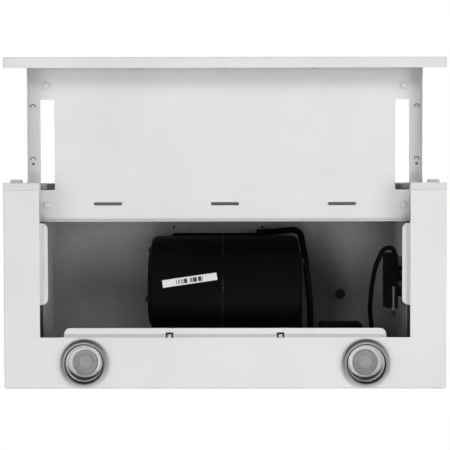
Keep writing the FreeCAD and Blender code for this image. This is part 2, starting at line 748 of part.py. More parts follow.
def channel(half, height, y0, y1, z, opening_up):
    direction = 1 if opening_up else -1
    low, high = sorted((z, z + direction * height))
    web_low, web_high = sorted((z, z + direction * RAIL_WALL))
    shell = box(SLIDE_X - half, SLIDE_X + half, y0, y1, low, high)
    hollow_low = web_high if opening_up else low - PAST
    hollow_high = high + PAST if opening_up else web_low
    hollow_half = half - RAIL_WALL
    return shell.cut(box(SLIDE_X - hollow_half, SLIDE_X + hollow_half, y0 - PAST, y1 + PAST,
                         hollow_low, hollow_high))


def outer_rail():
    rail = channel(OUTER_RAIL_HALF, OUTER_RAIL_HEIGHT, CAP_REAR_Y, REAR_Y - RAIL_END_GAP, PLATE_Z, False)
    for point in slide_rivet_points():
        if point.x > 0:
            rail = rail.cut(rivet_hole(point))
    return rail


def inner_rail():
    start = FASCIA_REAR_Y + RAIL_FRONT_GAP
    rail = channel(INNER_RAIL_HALF, INNER_RAIL_HEIGHT, start, ARM_REAR_Y, VISOR_TOP_Z, True)
    return rail.cut(screw_hole(rail_screw_point(), Z_AXIS))


def ball_cage():
    z = VISOR_TOP_Z + BALL_RISE
    gap_x = (INNER_RAIL_HALF + OUTER_RAIL_HALF - RAIL_WALL) / 2
    start = CAP_REAR_Y + CAGE_START
    end = start + CAGE_LENGTH
    top = (PLATE_Z - RAIL_WALL + VISOR_TOP_Z + INNER_RAIL_HEIGHT) / 2
    half_wall = CAGE_WALL / 2
    pieces = []
    for side in (-1, 1):
        x = SLIDE_X + side * gap_x
        pieces.append(box(x - half_wall, x + half_wall, start, end, z - 2 * BALL_RADIUS, top))
        for index in range(BALL_COUNT):
            y = start + CAGE_LENGTH / 2 + (index - (BALL_COUNT - 1) / 2) * BALL_PITCH
            pieces.append(Part.makeSphere(BALL_RADIUS, Vector(x, y, z)))
    half = gap_x + half_wall
    pieces.append(box(SLIDE_X - half, SLIDE_X + half, start, end, top - CAGE_WALL, top))
    return fused(pieces)


# Visor: sheet tray with long slots, short slots, bosses and arms for the rails

def rail_screw_point():
    return Vector(SLIDE_X, ARM_REAR_Y - RAIL_SCREW_INSET, VISOR_Z)


def boss_point(reach, z):
    return Vector(VISOR_X - BOSS_INSET, FRONT_Y - reach, z)


def front_half(shape, reach):
    return shape.cut(box(0, SIDE_X, FRONT_Y - reach, REAR_Y, BOTTOM_Z, SLIDE_HEIGHT))


def half_boss(reach):
    low = VISOR_Z - BOSS_HEIGHT
    boss = rod(BOSS_RADIUS, boss_point(reach, low), boss_point(reach, VISOR_Z))
    boss = rounded(boss, BOSS_HEIGHT * HEAD_ROUNDING, lambda edge, middle: near(middle.z, low))
    return front_half(boss, reach)


def boss_slit(reach, low, high):
    # Half-round slit along the boss's front edge.
    slit = ring(BOSS_RADIUS + BOSS_SLIT, BOSS_RADIUS, boss_point(reach, low), boss_point(reach, high))
    return front_half(slit, reach)


def rail_hole(low, high):
    return rod(RAIL_HOLE_RADIUS, boss_point(RAIL_HOLE_REACH, low), boss_point(RAIL_HOLE_REACH, high))


def visor_right_cuts():
    low = VISOR_Z - PAST
    high = VISOR_TOP_Z + PAST
    start = FASCIA_REAR_Y + LONG_SLOT_START
    end = FRONT_Y + LONG_SLOT_END
    long_slot = box(STRIP_X - LONG_SLOT_WIDTH, STRIP_X, start, end, low, high)
    cuts = [upright_rounded(long_slot, SLOT_CORNER)]
    for y in glide_ys():
        cuts.append(rod(GLIDE_STEM + SCREW_FIT, Vector(GLIDE_X, y, low), Vector(GLIDE_X, y, high)))
    cuts.append(rail_hole(low, high))
    cuts += [boss_slit(reach, low, high) for reach in (FRONT_BOSS_REACH, REAR_BOSS_REACH)]
    cuts.append(screw_hole(rail_screw_point(), Z_AXIS))
    return cuts


def visor_bends(tray, radius, top_z, front_y):
    # Rounds the top's side and front edges and the two front corners.
    return rounded(tray, radius, lambda edge, middle: (near(middle.z, top_z) and middle.y < ARM_REAR_Y - PAST)
                   or (along(edge, Z_AXIS) and near(middle.y, front_y)))


def visor_panel():
    outer = box(-VISOR_X, VISOR_X, FASCIA_REAR_Y, ARM_REAR_Y, WALL_Z, VISOR_TOP_Z)
    outer = visor_bends(outer, VISOR_BEND, VISOR_TOP_Z, FASCIA_REAR_Y)
    inner_x = VISOR_X - SHEET
    inner_y = FASCIA_REAR_Y + SHEET
    inner = box(-inner_x, inner_x, inner_y, ARM_REAR_Y + PAST, WALL_Z - PAST, VISOR_Z)
    inner = visor_bends(inner, VISOR_BEND - SHEET, VISOR_Z, inner_y)
    gap = box(-STRIP_X, STRIP_X, VISOR_REAR_Y, ARM_REAR_Y + PAST, WALL_Z - PAST, VISOR_TOP_Z + PAST)
    lip = box(-STRIP_X, STRIP_X, VISOR_REAR_Y - SHEET, VISOR_REAR_Y, VISOR_Z - REAR_LIP_DROP, VISOR_TOP_Z)
    tray = fused([outer.cut(inner).cut(gap), lip])
    tray = rounded(tray, VISOR_BEND / 2, lambda edge, middle: along(edge, X_AXIS)
                   and near(middle.y, VISOR_REAR_Y) and near(middle.z, VISOR_TOP_Z))
    bosses = [half_boss(FRONT_BOSS_REACH), half_boss(REAR_BOSS_REACH)]
    tray = fused([tray] + bosses + [mirrored(boss) for boss in bosses])
    cuts = visor_right_cuts()
    cuts += [mirrored(cut) for cut in cuts]
    y = VISOR_REAR_Y - SHORT_SLOT_SETBACK
    for x in (-SHORT_SLOT_PITCH, 0.0, SHORT_SLOT_PITCH):
        cuts.append(slot(x, y, SHORT_SLOT_LENGTH, SHORT_SLOT_WIDTH, VISOR_Z - PAST, VISOR_TOP_Z + PAST))
    cuts += [screw_hole(point, -Y_AXIS) for point in fascia_screw_points()]
    return tray.cut(Part.makeCompound(cuts))


def glide_ys():
    return [FASCIA_REAR_Y + GLIDE_FRONT_SETBACK, VISOR_REAR_Y - GLIDE_SETBACK]


def visor_glides():
    low = VISOR_Z - GLIDE_HEIGHT
    glides = []
    for x in (-GLIDE_X, GLIDE_X):
        for y in glide_ys():
            seat = Vector(x, y, VISOR_Z)
            dome = rod(GLIDE_RADIUS, Vector(x, y, low), seat)
            dome = rounded(dome, GLIDE_HEIGHT * HEAD_ROUNDING, lambda edge, middle: near(middle.z, low))
            glides.append(dome.fuse(rod(GLIDE_STEM, seat, seat + Z_AXIS * SHEET)).removeSplitter())
    return glides


def rail_screws():
    screw = placed_screw(rail_screw_point(), Z_AXIS, SHEET + RAIL_WALL + PAST)
    return [screw, mirrored(screw)]


# Fascia: hollow bar with a lip along its lower rear edge, closed by an end plate at each end

def fascia_section(shrink, x0, x1, round_radius):
    bar = box(x0, x1, FASCIA_REAR_Y - FASCIA_THICKNESS + shrink, FASCIA_REAR_Y - shrink,
              BOTTOM_Z + shrink, BOTTOM_Z + FASCIA_HEIGHT - shrink)
    return rounded(bar, round_radius, lambda edge, middle: along(edge, X_AXIS))


def fascia_lip(x0, x1):
    return box(x0, x1, FASCIA_REAR_Y - FASCIA_THICKNESS / 2, FASCIA_REAR_Y + FASCIA_LIP,
               BOTTOM_Z, BOTTOM_Z + FASCIA_WALL)


def front_fascia():
    half = FASCIA_X - END_PLATE
    bar = fused([fascia_section(0, -half, half, FASCIA_ROUND), fascia_lip(-half, half)])
    bar = bar.cut(fascia_section(FASCIA_WALL, -half - PAST, half + PAST, FASCIA_ROUND - FASCIA_WALL / 2))
    for point in fascia_screw_points():
        bar = bar.cut(screw_hole(point, -Y_AXIS))
    return bar


def fascia_end():
    seat = FASCIA_X - END_PLATE
    tip = seat - PLUG_DEPTH
    plate = fascia_section(0, seat, FASCIA_X, FASCIA_ROUND)
    plug = fascia_section(FASCIA_WALL + PLUG_GAP, tip, seat, FASCIA_ROUND / 2)
    hollow = fascia_section(2 * FASCIA_WALL + PLUG_GAP, tip - PAST, seat, FASCIA_ROUND / 2)
    return fused([plate, fascia_lip(seat, FASCIA_X), plug.cut(hollow)])


def fascia_screws():
    reach = SHEET + FASCIA_WALL + PLUG_DEPTH / 2
    return [placed_screw(point, -Y_AXIS, reach) for point in fascia_screw_points()]


# Blower housing: a scroll of three quarter arcs whose centres step, so that they meet smoothly

def arc_edge(y, z, radius, start, end, x):
    points = []
    for angle in (start, (start + end) / 2, end):
        turn = math.radians(angle)
        points.append(Vector(x, y + radius * math.cos(turn), z + radius * math.sin(turn)))
    return Part.Arc(*points).toShape()


def scroll_solid(inset, x0, x1, top_z):
    first = SCROLL_RADIUS - inset
    second = first - SCROLL_STEP
    third = LAST_ARC_RADIUS - inset
    tongue_y = TONGUE_Y - inset
    front_y = SCROLL_FRONT_Y + inset
    end = math.degrees(math.acos((tongue_y - LAST_ARC_Y) / third))
    tongue_z = LAST_ARC_Z + third * math.sin(math.radians(end))
    corners = [Vector(x0, tongue_y, tongue_z), Vector(x0, tongue_y, top_z)]
    corners += [Vector(x0, front_y, top_z), Vector(x0, front_y, SCROLL_Z)]
    edges = [arc_edge(SCROLL_Y, SCROLL_Z, first, 180, 270, x0)]
    edges.append(arc_edge(SCROLL_Y, LAST_ARC_Z, second, 270, 360, x0))
    edges.append(arc_edge(LAST_ARC_Y, LAST_ARC_Z, third, 0, end, x0))
    edges += [Part.LineSegment(a, b).toShape() for a, b in zip(corners, corners[1:])]
    return Part.Face(Part.Wire(Part.__sortEdges__(edges))).extrude(Vector(x1 - x0, 0, 0))


def scroll_outside():
    body = scroll_solid(0, -BLOWER_X, BLOWER_X, SCROLL_TOP_Z)
    return rounded(body, BLOWER_ROUND, lambda edge, middle: near(abs(middle.x), BLOWER_X)
                   and middle.z < SCROLL_TOP_Z - SHEET and middle.y < TONGUE_Y - SHEET)


def scroll_inside():
    inner_x = BLOWER_X - BLOWER_WALL
    return scroll_solid(BLOWER_WALL, -inner_x, inner_x, SCROLL_TOP_Z - BLOWER_WALL)


def mouth_box(grow_x, grow_front, grow_rear, z0, z1):
    half = MOUTH_WIDTH / 2 + grow_x
    return box(MOUTH_X - half, MOUTH_X + half, SCROLL_FRONT_Y - grow_front, TONGUE_Y + grow_rear, z0, z1)


def scroll_shell():
    mouth = mouth_box(0, -BLOWER_WALL, -BLOWER_WALL, SCROLL_TOP_Z - 2 * BLOWER_WALL, CEILING_Z + PAST)
    inlet = rod(INLET_RADIUS, axis_point(-BLOWER_X - PAST), axis_point(BLOWER_X + PAST))
    wall = scroll_outside().cut(scroll_inside()).cut(mouth).cut(inlet)
    collar = mouth_box(BLOWER_WALL, 0, 0, SCROLL_TOP_Z, CEILING_Z).cut(mouth)
    flange = mouth_box(MOUTH_FLANGE + BLOWER_WALL, MOUTH_LIP, MOUTH_LIP,
                       CEILING_Z - FLANGE_THICKNESS, CEILING_Z)
    flange = upright_rounded(flange, MOUTH_LIP).cut(mouth)
    boss_top = CEILING_Z - FLANGE_THICKNESS - LEAD_BOSS_DROP
    boss = box(LEAD_BOSS_X - LEAD_BOSS_WIDTH, LEAD_BOSS_X, SCROLL_FRONT_Y - LEAD_BOSS_DEPTH, SCROLL_FRONT_Y,
               boss_top - LEAD_BOSS_DEPTH, boss_top)
    boss = rounded(boss, LEAD_BOSS_ROUND, lambda edge, middle: along(edge, X_AXIS)
                   and middle.y < SCROLL_FRONT_Y - SHEET)
    shell = fused([wall, collar, flange, boss])
    for point in guard_points(BLOWER_X, RIGHT_EAR_ANGLES):
        shell = shell.cut(screw_hole(point, -X_AXIS))
    for point in guard_points(-BLOWER_X, LEFT_EAR_ANGLES):
        shell = shell.cut(screw_hole(point, X_AXIS))
    return shell


def scroll_halves():
    shell = scroll_shell()
    far = BODY_WIDTH
    left = shell.common(box(-far, SEAM_X - SEAM_GAP / 2, -far, far, -far, far))
    right = shell.common(box(SEAM_X + SEAM_GAP / 2, far, -far, far, -far, far))
    return left, right


def on_scroll(block, angle):
    # Turns a block made below the scroll's centre to the wanted place on its first arc.
    block.rotate(Vector(0, SCROLL_Y, SCROLL_Z), X_AXIS, angle - 270)
    return block


def scroll_clip():
    low = SCROLL_Z - SCROLL_RADIUS
    half_x = CLIP_WIDTH / 2
    half_y = CLIP_LENGTH / 2
    block = box(SEAM_X - half_x, SEAM_X + half_x, SCROLL_Y - half_y, SCROLL_Y + half_y,
                low - CLIP_HEIGHT, low + CLIP_HEIGHT)
    block = rounded(block, CLIP_HEIGHT / 3, lambda edge, middle: near(middle.z, low - CLIP_HEIGHT))
    return on_scroll(block, CLIP_ANGLE).cut(scroll_outside())


def blower_label():
    low = SCROLL_Z - SCROLL_RADIUS
    half_x = LABEL_LENGTH / 2
    half_y = LABEL_WIDTH / 2
    block = box(LABEL_X - half_x, LABEL_X + half_x, SCROLL_Y - half_y, SCROLL_Y + half_y,
                low - half_y, low + half_y)
    block.rotate(Vector(LABEL_X, SCROLL_Y, low), Z_AXIS, -LABEL_TURN)
    block = on_scroll(block, LABEL_ANGLE)
    left = Vector(-BLOWER_X, SCROLL_Y, SCROLL_Z)
    right = Vector(BLOWER_X, SCROLL_Y, SCROLL_Z)
    skin = ring(SCROLL_RADIUS + LABEL_THICKNESS, SCROLL_RADIUS, left, right)
    return block.common(skin)


# Inlet guards: flanged ring with bars, ears for screws

def guard_points(x, angles):
    points = []
    for angle in angles:
        turn = math.radians(angle)
        offset = Vector(0, math.cos(turn), math.sin(turn)) * GUARD_EAR_REACH
        points.append(axis_point(x) + offset)
    return points


def inlet_guard(ear_angles):
    # The guard of the right inlet: the left one is its mirror image with its own ears.
    face = axis_point(BLOWER_X)
    outer = face + X_AXIS * GUARD_THICKNESS
    plug = INLET_RADIUS - GUARD_FIT
    bore = plug - GUARD_WALL
    pieces = [ring(INLET_RADIUS + GUARD_FLANGE, bore, face, outer)]
    pieces.append(ring(plug, bore, face - X_AXIS * GUARD_PLUG, face))
    pieces.append(rod(GUARD_HUB, face, outer))
    pieces.append(ring(GUARD_RING + GUARD_BAR / 2, GUARD_RING - GUARD_BAR / 2, face, outer))
    for angle in (0, 60, 120):
        bar = box(BLOWER_X, BLOWER_X + GUARD_THICKNESS, AXIS_Y - bore - PAST, AXIS_Y + bore + PAST,
                  AXIS_Z - GUARD_BAR / 2, AXIS_Z + GUARD_BAR / 2)
        bar.rotate(face, X_AXIS, angle)
        pieces.append(bar)
    ears = guard_points(BLOWER_X, ear_angles)
    pieces += [rod(GUARD_EAR_RADIUS, point, point + X_AXIS * GUARD_EAR_HEIGHT) for point in ears]
    guard = fused(pieces)
    for point in ears:
        guard = guard.cut(screw_hole(point, X_AXIS))
    return guard


def guard_screws(ear_angles):
    reach = GUARD_EAR_HEIGHT + BLOWER_WALL
    seats = [point + X_AXIS * GUARD_EAR_HEIGHT for point in guard_points(BLOWER_X, ear_angles)]
    return [placed_screw(seat, -X_AXIS, reach) for seat in seats]


# Motor in the seam plane, carried by a spider; impellers on both shaft ends

def axis_point(x):
    return Vector(x, AXIS_Y, AXIS_Z)


def motor_left_x():
    return MOTOR_X - MOTOR_LENGTH / 2


def motor_right_x():
    return MOTOR_X + MOTOR_LENGTH / 2


def on_axis(radius, x0, x1):
    return rod(radius, axis_point(x0), axis_point(x1))


def on_axis_ring(outer, inner, x0, x1):
    return ring(outer, inner, axis_point(x0), axis_point(x1))


def motor_can():
    left = motor_left_x()
    right = motor_right_x()
    can = on_axis(MOTOR_RADIUS, left, right - MOTOR_WALL)
    can = can.cut(on_axis(MOTOR_RADIUS - MOTOR_WALL, left + MOTOR_WALL, right))
    boss = on_axis(BEARING_RADIUS + MOTOR_WALL, left, left + BEARING_LENGTH)
    return fused([can, boss]).cut(on_axis(BEARING_RADIUS + SHAFT_FIT, left - PAST, MOTOR_X))


def motor_cover():
    right = motor_right_x()
    plate = on_axis(MOTOR_RADIUS, right - MOTOR_WALL, right)
    boss = on_axis(BEARING_RADIUS + MOTOR_WALL, right - BEARING_LENGTH, right)
    return fused([plate, boss]).cut(on_axis(BEARING_RADIUS + SHAFT_FIT, MOTOR_X, right + PAST))


def motor_bearings():
    bore = SHAFT_RADIUS + SHAFT_FIT
    starts = (motor_left_x(), motor_right_x() - BEARING_LENGTH)
    return [on_axis_ring(BEARING_RADIUS, bore, start, start + BEARING_LENGTH) for start in starts]


def motor_stator():
    half = STATOR_LENGTH / 2
    return on_axis_ring(MOTOR_RADIUS - MOTOR_WALL - MOTOR_GAP, STATOR_BORE, MOTOR_X - half, MOTOR_X + half)


def motor_rotor():
    half = STATOR_LENGTH / 2
    return on_axis_ring(STATOR_BORE - ROTOR_AIR_GAP, SHAFT_RADIUS + SHAFT_FIT, MOTOR_X - half, MOTOR_X + half)


def motor_spider():
    half = SPIDER_WIDTH / 2
    bore = MOTOR_RADIUS + MOTOR_GAP
    pieces = [on_axis_ring(bore + SPIDER_WALL, bore, MOTOR_X - half, MOTOR_X + half)]
    half_arm = SPIDER_ARM / 2
    for angle in SPIDER_ANGLES:
        arm = box(MOTOR_X - half, MOTOR_X + half, AXIS_Y + bore + PAST, AXIS_Y + 2 * bore,
                  AXIS_Z - half_arm, AXIS_Z + half_arm)
        arm.rotate(axis_point(MOTOR_X), X_AXIS, angle)
        pieces.append(arm)
    return fused(pieces).common(scroll_inside())


def motor_shaft():
    return on_axis(SHAFT_RADIUS, -SHAFT_REACH, SHAFT_REACH)


def blade(x0, x1, angle):
    # A thin arc from the inner rim to the outer rim, bowed forward.
    middle = (IMPELLER_RADIUS + IMPELLER_BORE) / 2

    def edge(shift):
        points = [Vector(x0, IMPELLER_BORE + BLADE_INSET, -BLADE_BOW / 2 + shift)]
        points.append(Vector(x0, middle, BLADE_BOW / 8 + shift))
        points.append(Vector(x0, IMPELLER_RADIUS - BLADE_INSET, BLADE_BOW + shift))
        return points, Part.Arc(*points).toShape()

    lower, lower_edge = edge(0)
    upper, upper_edge = edge(BLADE_THICKNESS)
    sides = [Part.LineSegment(lower[end], upper[end]).toShape() for end in (0, -1)]
    outline = Part.Wire(Part.__sortEdges__([lower_edge, upper_edge] + sides))
    solid = Part.Face(outline).extrude(Vector(x1 - x0, 0, 0))
    solid.rotate(Vector(0, 0, 0), X_AXIS, angle)
    solid.translate(axis_point(0))
    return solid


def impeller():
    outer = SHAFT_REACH
    inner = IMPELLER_START
    hub_end = inner + IMPELLER_HUB_LENGTH
    pieces = [on_axis_ring(IMPELLER_RADIUS, IMPELLER_BORE, outer - IMPELLER_RIM, outer)]
    pieces.append(on_axis(IMPELLER_RADIUS, inner, inner + IMPELLER_PLATE))
    pieces.append(on_axis(IMPELLER_HUB, inner, hub_end))
    for index in range(BLADE_COUNT):
        pieces.append(blade(inner + IMPELLER_PLATE / 2, outer - IMPELLER_RIM / 2, 360 * index / BLADE_COUNT))
    return fused(pieces).cut(on_axis(SHAFT_RADIUS + SHAFT_FIT, inner - PAST, hub_end + PAST))


# Outlet spigot with a pair of flaps on one pin

def outlet_point(z):
    return Vector(MOUTH_X, MOUTH_Y, z)


def pin_point(x):
    return Vector(MOUTH_X + x, MOUTH_Y, FLAP_PIN_Z)


def outlet_spigot():
    base = CASING_HEIGHT
    top = base + SPIGOT_LENGTH
    half = SPIGOT_FLANGE
    plate = box(MOUTH_X - half, MOUTH_X + half, MOUTH_Y - half, MOUTH_Y + half,
                base, base + SPIGOT_FLANGE_THICKNESS)
    plate = upright_rounded(plate, SPIGOT_CORNER)
    tube = rod(SPIGOT_RADIUS, outlet_point(base), outlet_point(top))
    tube = rounded(tube, SPIGOT_WALL / 2, lambda edge, middle: near(middle.z, top))
    spigot = fused([plate, tube]).cut(rod(SPIGOT_BORE, outlet_point(base - PAST), outlet_point(top + PAST)))
    seat_top = FLAP_PIN_Z - FLAP_THICKNESS / 2 - FLAP_SEAT_GAP
    rim = SPIGOT_BORE + SPIGOT_WALL / 2
    seat = ring(rim, SPIGOT_BORE - SEAT_WIDTH, outlet_point(seat_top - SEAT_HEIGHT), outlet_point(seat_top))
    knuckle_space = rod(KNUCKLE_RADIUS + KNUCKLE_CLEAR, pin_point(-SPIGOT_BORE), pin_point(SPIGOT_BORE))
    pieces = [spigot, seat.cut(knuckle_space)]
    for side in (-1, 1):
        pieces.append(rod(BEAM_RADIUS, pin_point(side * (SPIGOT_BORE - BEAM_LENGTH)), pin_point(side * rim)))
    pin_hole = rod(FLAP_PIN_RADIUS + FLAP_FIT, pin_point(-SPIGOT_BORE), pin_point(SPIGOT_BORE))
    spigot = fused(pieces).cut(pin_hole)
    for point in spigot_screw_points():
        spigot = spigot.cut(screw_hole(point, -Z_AXIS))
    return spigot


def flap_pin():
    reach = SPIGOT_BORE - FLAP_FIT
    return rod(FLAP_PIN_RADIUS, pin_point(-reach), pin_point(reach))


def flap(side, spans, clear_spans):
    # Half a disc on one side of the pin, with knuckles round the pin.
    radius = SPIGOT_BORE - FLAP_EDGE_GAP
    low = FLAP_PIN_Z - FLAP_THICKNESS / 2
    high = FLAP_PIN_Z + FLAP_THICKNESS / 2
    disc = rod(radius, outlet_point(low), outlet_point(high))
    y0, y1 = sorted((MOUTH_Y, MOUTH_Y + side * radius))
    plate = disc.common(box(MOUTH_X - radius, MOUTH_X + radius, y0, y1, low, high))
    pieces = [plate.cut(rod(KNUCKLE_RADIUS + KNUCKLE_CLEAR, pin_point(-radius), pin_point(radius)))]
    for x0, x1 in spans:
        pieces.append(rod(KNUCKLE_RADIUS, pin_point(x0), pin_point(x1)))
        y0, y1 = sorted((MOUTH_Y, MOUTH_Y + side * (KNUCKLE_RADIUS + PAST)))
        pieces.append(box(MOUTH_X + x0, MOUTH_X + x1, y0, y1, low, high))
    body = fused(pieces)
    for x0, x1 in clear_spans:
        body = body.cut(rod(KNUCKLE_RADIUS + KNUCKLE_CLEAR, pin_point(x0), pin_point(x1)))
    return body.cut(rod(FLAP_PIN_RADIUS + FLAP_FIT, pin_point(-radius), pin_point(radius)))


def flaps():
    half = CENTRE_KNUCKLE / 2
    start = half + KNUCKLE_GAP
    end = start + SIDE_KNUCKLE
    beam = SPIGOT_BORE - BEAM_LENGTH - KNUCKLE_GAP
    beams = [(-SPIGOT_BORE, -beam), (beam, SPIGOT_BORE)]
    return flap(-1, [(-half, half)], beams), flap(1, [(-end, -start), (start, end)], beams)


def spigot_screws():
    reach = SPIGOT_FLANGE_THICKNESS + 2 * SHEET
    return [placed_screw(point, -Z_AXIS, reach) for point in spigot_screw_points()]


# Lamps: bezel, lens, reflector, bulb, holder, springs

def lamp_bezel(x):
    # Ring with a rounded rim, a lip that holds the lens, and a collar through the pan.
    low = BOTTOM_Z - BEZEL_DROP
    top = BOTTOM_Z + BEZEL_COLLAR
    lip = COLLAR_RADIUS - LENS_LIP
    collar = COLLAR_RADIUS + BEZEL_WALL
    points = [(collar, BOTTOM_Z), (BEZEL_RADIUS, BOTTOM_Z)]
    for index in range(BEZEL_STEPS + 1):
        turn = math.pi / 2 * index / BEZEL_STEPS
        drop = BEZEL_EDGE + (BEZEL_DROP - BEZEL_EDGE) * math.sin(turn)
        points.append((collar + BEZEL_RIM * math.cos(turn), BOTTOM_Z - drop))
    points += [(COLLAR_RADIUS, low), (lip, LENS_Z - LENS_LIP / 2), (lip, LENS_Z), (COLLAR_RADIUS, LENS_Z)]
    points += [(COLLAR_RADIUS, top), (collar, top)]
    return turned(points, x, LAMP_Y)


def lamp_lens(x):
    inside = COLLAR_RADIUS - LENS_LIP - LENS_FIT
    points = [(0, LENS_TOP_Z), (LENS_RADIUS, LENS_TOP_Z), (LENS_RADIUS, LENS_Z), (inside, LENS_Z)]
    for index in range(1, LENS_STEPS + 1):
        share = 1 - index / LENS_STEPS
        points.append((inside * share, LENS_Z - LENS_DOME * (1 - share * share)))
    return turned(points, x, LAMP_Y)


def reflector_radius(share):
    # Parabola from the neck, where share is 0, to the rim, where share is 1.
    return REFLECTOR_NECK + (LENS_RADIUS - REFLECTOR_WALL - REFLECTOR_NECK) * math.sqrt(share)


def lamp_reflector(x):
    shares = [index / REFLECTOR_STEPS for index in range(REFLECTOR_STEPS + 1)]
    inner = [(reflector_radius(share), NECK_Z - REFLECTOR_HEIGHT * share) for share in shares]
    outer = [(radius + REFLECTOR_WALL, z) for radius, z in reversed(inner)]
    top = NECK_Z + REFLECTOR_WALL
    bore = BULB_RADIUS + LENS_FIT
    neck = [(REFLECTOR_NECK + REFLECTOR_WALL, top), (bore, top), (bore, NECK_Z)]
    return turned(inner + outer[:-1] + neck, x, LAMP_Y)


def lamp_bulb(x):
    top = NECK_Z + REFLECTOR_WALL + HOLDER_SOCKET
    low = top - BULB_LENGTH
    bulb = rod(BULB_RADIUS, Vector(x, LAMP_Y, low), Vector(x, LAMP_Y, top))
    return rounded(bulb, BULB_ROUND, lambda edge, middle: near(middle.z, low))


def lamp_holder(x):
    seat = NECK_Z + REFLECTOR_WALL
    top = seat + HOLDER_HEIGHT
    cup = rod(HOLDER_RADIUS, Vector(x, LAMP_Y, seat), Vector(x, LAMP_Y, top))
    cup = rounded(cup, HOLDER_ROUND, lambda edge, middle: near(middle.z, top))
    socket_low = Vector(x, LAMP_Y, seat - PAST)
    socket_high = Vector(x, LAMP_Y, seat + HOLDER_SOCKET)
    return cup.cut(rod(BULB_RADIUS + LENS_FIT / 2, socket_low, socket_high))


def lamp_spring(x, side):
    # Bent leaf from the bezel's collar down to the pan's upper face.
    start = COLLAR_RADIUS + BEZEL_WALL
    bend = BEZEL_COLLAR - LAMP_SPRING_HEIGHT / 2
    inside = [(0, BEZEL_COLLAR), (0, bend), (LAMP_SPRING_HEIGHT, SHEET)]
    outside = [(run + LAMP_SPRING_THICKNESS, rise) for run, rise in reversed(inside)]
    low_y = LAMP_Y - LAMP_SPRING_WIDTH / 2
    points = [Vector(x + side * (start + run), low_y, BOTTOM_Z + rise) for run, rise in inside + outside]
    leaf = Part.Face(Part.makePolygon(points + points[:1])).extrude(Vector(0, LAMP_SPRING_WIDTH, 0))
    return leaf.cut(rod(start, Vector(x, LAMP_Y, BOTTOM_Z), Vector(x, LAMP_Y, 0)))


def lamp_springs():
    return [lamp_spring(x, side) for x in (-LAMP_X, LAMP_X) for side in (-1, 1)]


# Switch block with plungers that reach through the casing wall

def switch_block():
    block = box(SWITCH_X, SWITCH_RIGHT_X, SWITCH_FRONT_Y, SWITCH_REAR_Y, SWITCH_Z, SWITCH_TOP_Z)
    block = rounded(block, SWITCH_ROUND, lambda edge, middle: near(middle.z, SWITCH_Z) or along(edge, Z_AXIS))
    pocket_x = SWITCH_RIGHT_X - PLUNGER_DEPTH - PLUNGER_TRAVEL - PLUNGER_FIT
    for y in plunger_ys():
        block = block.cut(plunger_box(y, pocket_x, SWITCH_RIGHT_X + PAST, PLUNGER_FIT))
    rod_start = Vector(rod_x(), SWITCH_FRONT_Y + ROD_SETBACK, rod_z())
    return block.cut(rod(ROD_RADIUS + PLUNGER_FIT, rod_start, rod_start + Y_AXIS * SWITCH_LENGTH))


def plunger_box(y, x0, x1, fit):
    half = PLUNGER_SIZE / 2 + fit
    return box(x0, x1, y - half, y + half, PLUNGER_Z - half, PLUNGER_Z + half)


def plunger(y):
    tip = CASING_X + PLUNGER_TRAVEL
    body = plunger_box(y, SWITCH_RIGHT_X - PLUNGER_DEPTH, tip, 0)
    return rounded(body, SWITCH_ROUND / 2, lambda edge, middle: near(middle.x, tip))


def switch_bracket():
    y0 = SWITCH_FRONT_Y + BRACKET_MARGIN
    y1 = SWITCH_REAR_Y - BRACKET_MARGIN
    shelf = box(SWITCH_X, WALL_X, y0, y1, SWITCH_TOP_Z, SWITCH_TOP_Z + BRACKET_THICKNESS)
    upstand = box(WALL_X - BRACKET_THICKNESS, WALL_X, y0, y1, SWITCH_TOP_Z, SWITCH_TOP_Z + BRACKET_UPSTAND)
    bracket = fused([shelf, upstand])
    for point in bracket_screw_points():
        bracket = bracket.cut(screw_hole(point, -X_AXIS))
    return bracket


def bracket_screws():
    reach = SHEET + BRACKET_THICKNESS + PAST
    return [placed_screw(point, -X_AXIS, reach) for point in bracket_screw_points()]


def rod_x():
    return SWITCH_X + ROD_INSET


def rod_z():
    return SWITCH_Z + ROD_RISE


def switch_rod():
    start = Vector(rod_x(), SWITCH_FRONT_Y + ROD_SETBACK, rod_z())
    head = Vector(rod_x(), SWITCH_REAR_Y, rod_z())
    tip = head + Y_AXIS * ROD_REACH
    collar = rod(ROD_HEAD_RADIUS, head + Y_AXIS * PLUNGER_FIT, head + Y_AXIS * ROD_HEAD)
    return fused([rod(ROD_RADIUS, start, tip), collar])


def switch_spring():
    # Open coil on the rod's tip, made of half-turn arcs that climb steadily.
    start_y = SWITCH_REAR_Y + ROD_HEAD + SPRING_WIRE / 2
    halves = 2 * SPRING_TURNS

    def at(half_turns):
        turn = math.pi * half_turns
        climb = SPRING_LENGTH * half_turns / halves
        return Vector(rod_x() + SPRING_RADIUS * math.cos(turn), start_y + climb,
                      rod_z() + SPRING_RADIUS * math.sin(turn))

    arcs = [Part.Arc(at(i), at(i + 0.5), at(i + 1)).toShape() for i in range(halves)]
    path = Part.Wire(arcs)
    tangent = arcs[0].tangentAt(arcs[0].FirstParameter)
    section = Part.Wire(Part.Circle(at(0), tangent, SPRING_WIRE / 2).toShape())
    print("switch_spring least gap to itself", round(SPRING_LENGTH / SPRING_TURNS - SPRING_WIRE, 2))
    return path.makePipeShell([section], True, False)


# Terminal box under the ceiling

def terminal_box():
    shell = box(BOX_LEFT_X, BOX_RIGHT_X, BOX_FRONT_Y, BOX_REAR_Y, BOX_BOTTOM_Z, CEILING_Z)
    shell = upright_rounded(shell, BOX_WALL)
    shell = shell.cut(box(BOX_LEFT_X + BOX_WALL, BOX_RIGHT_X - BOX_WALL, BOX_FRONT_Y + BOX_WALL,
                          BOX_REAR_Y - BOX_WALL, BOX_BOTTOM_Z - PAST, CEILING_Z - BOX_WALL))
    for point in box_screw_points():
        shell = shell.cut(screw_hole(point, -Z_AXIS))
    return shell


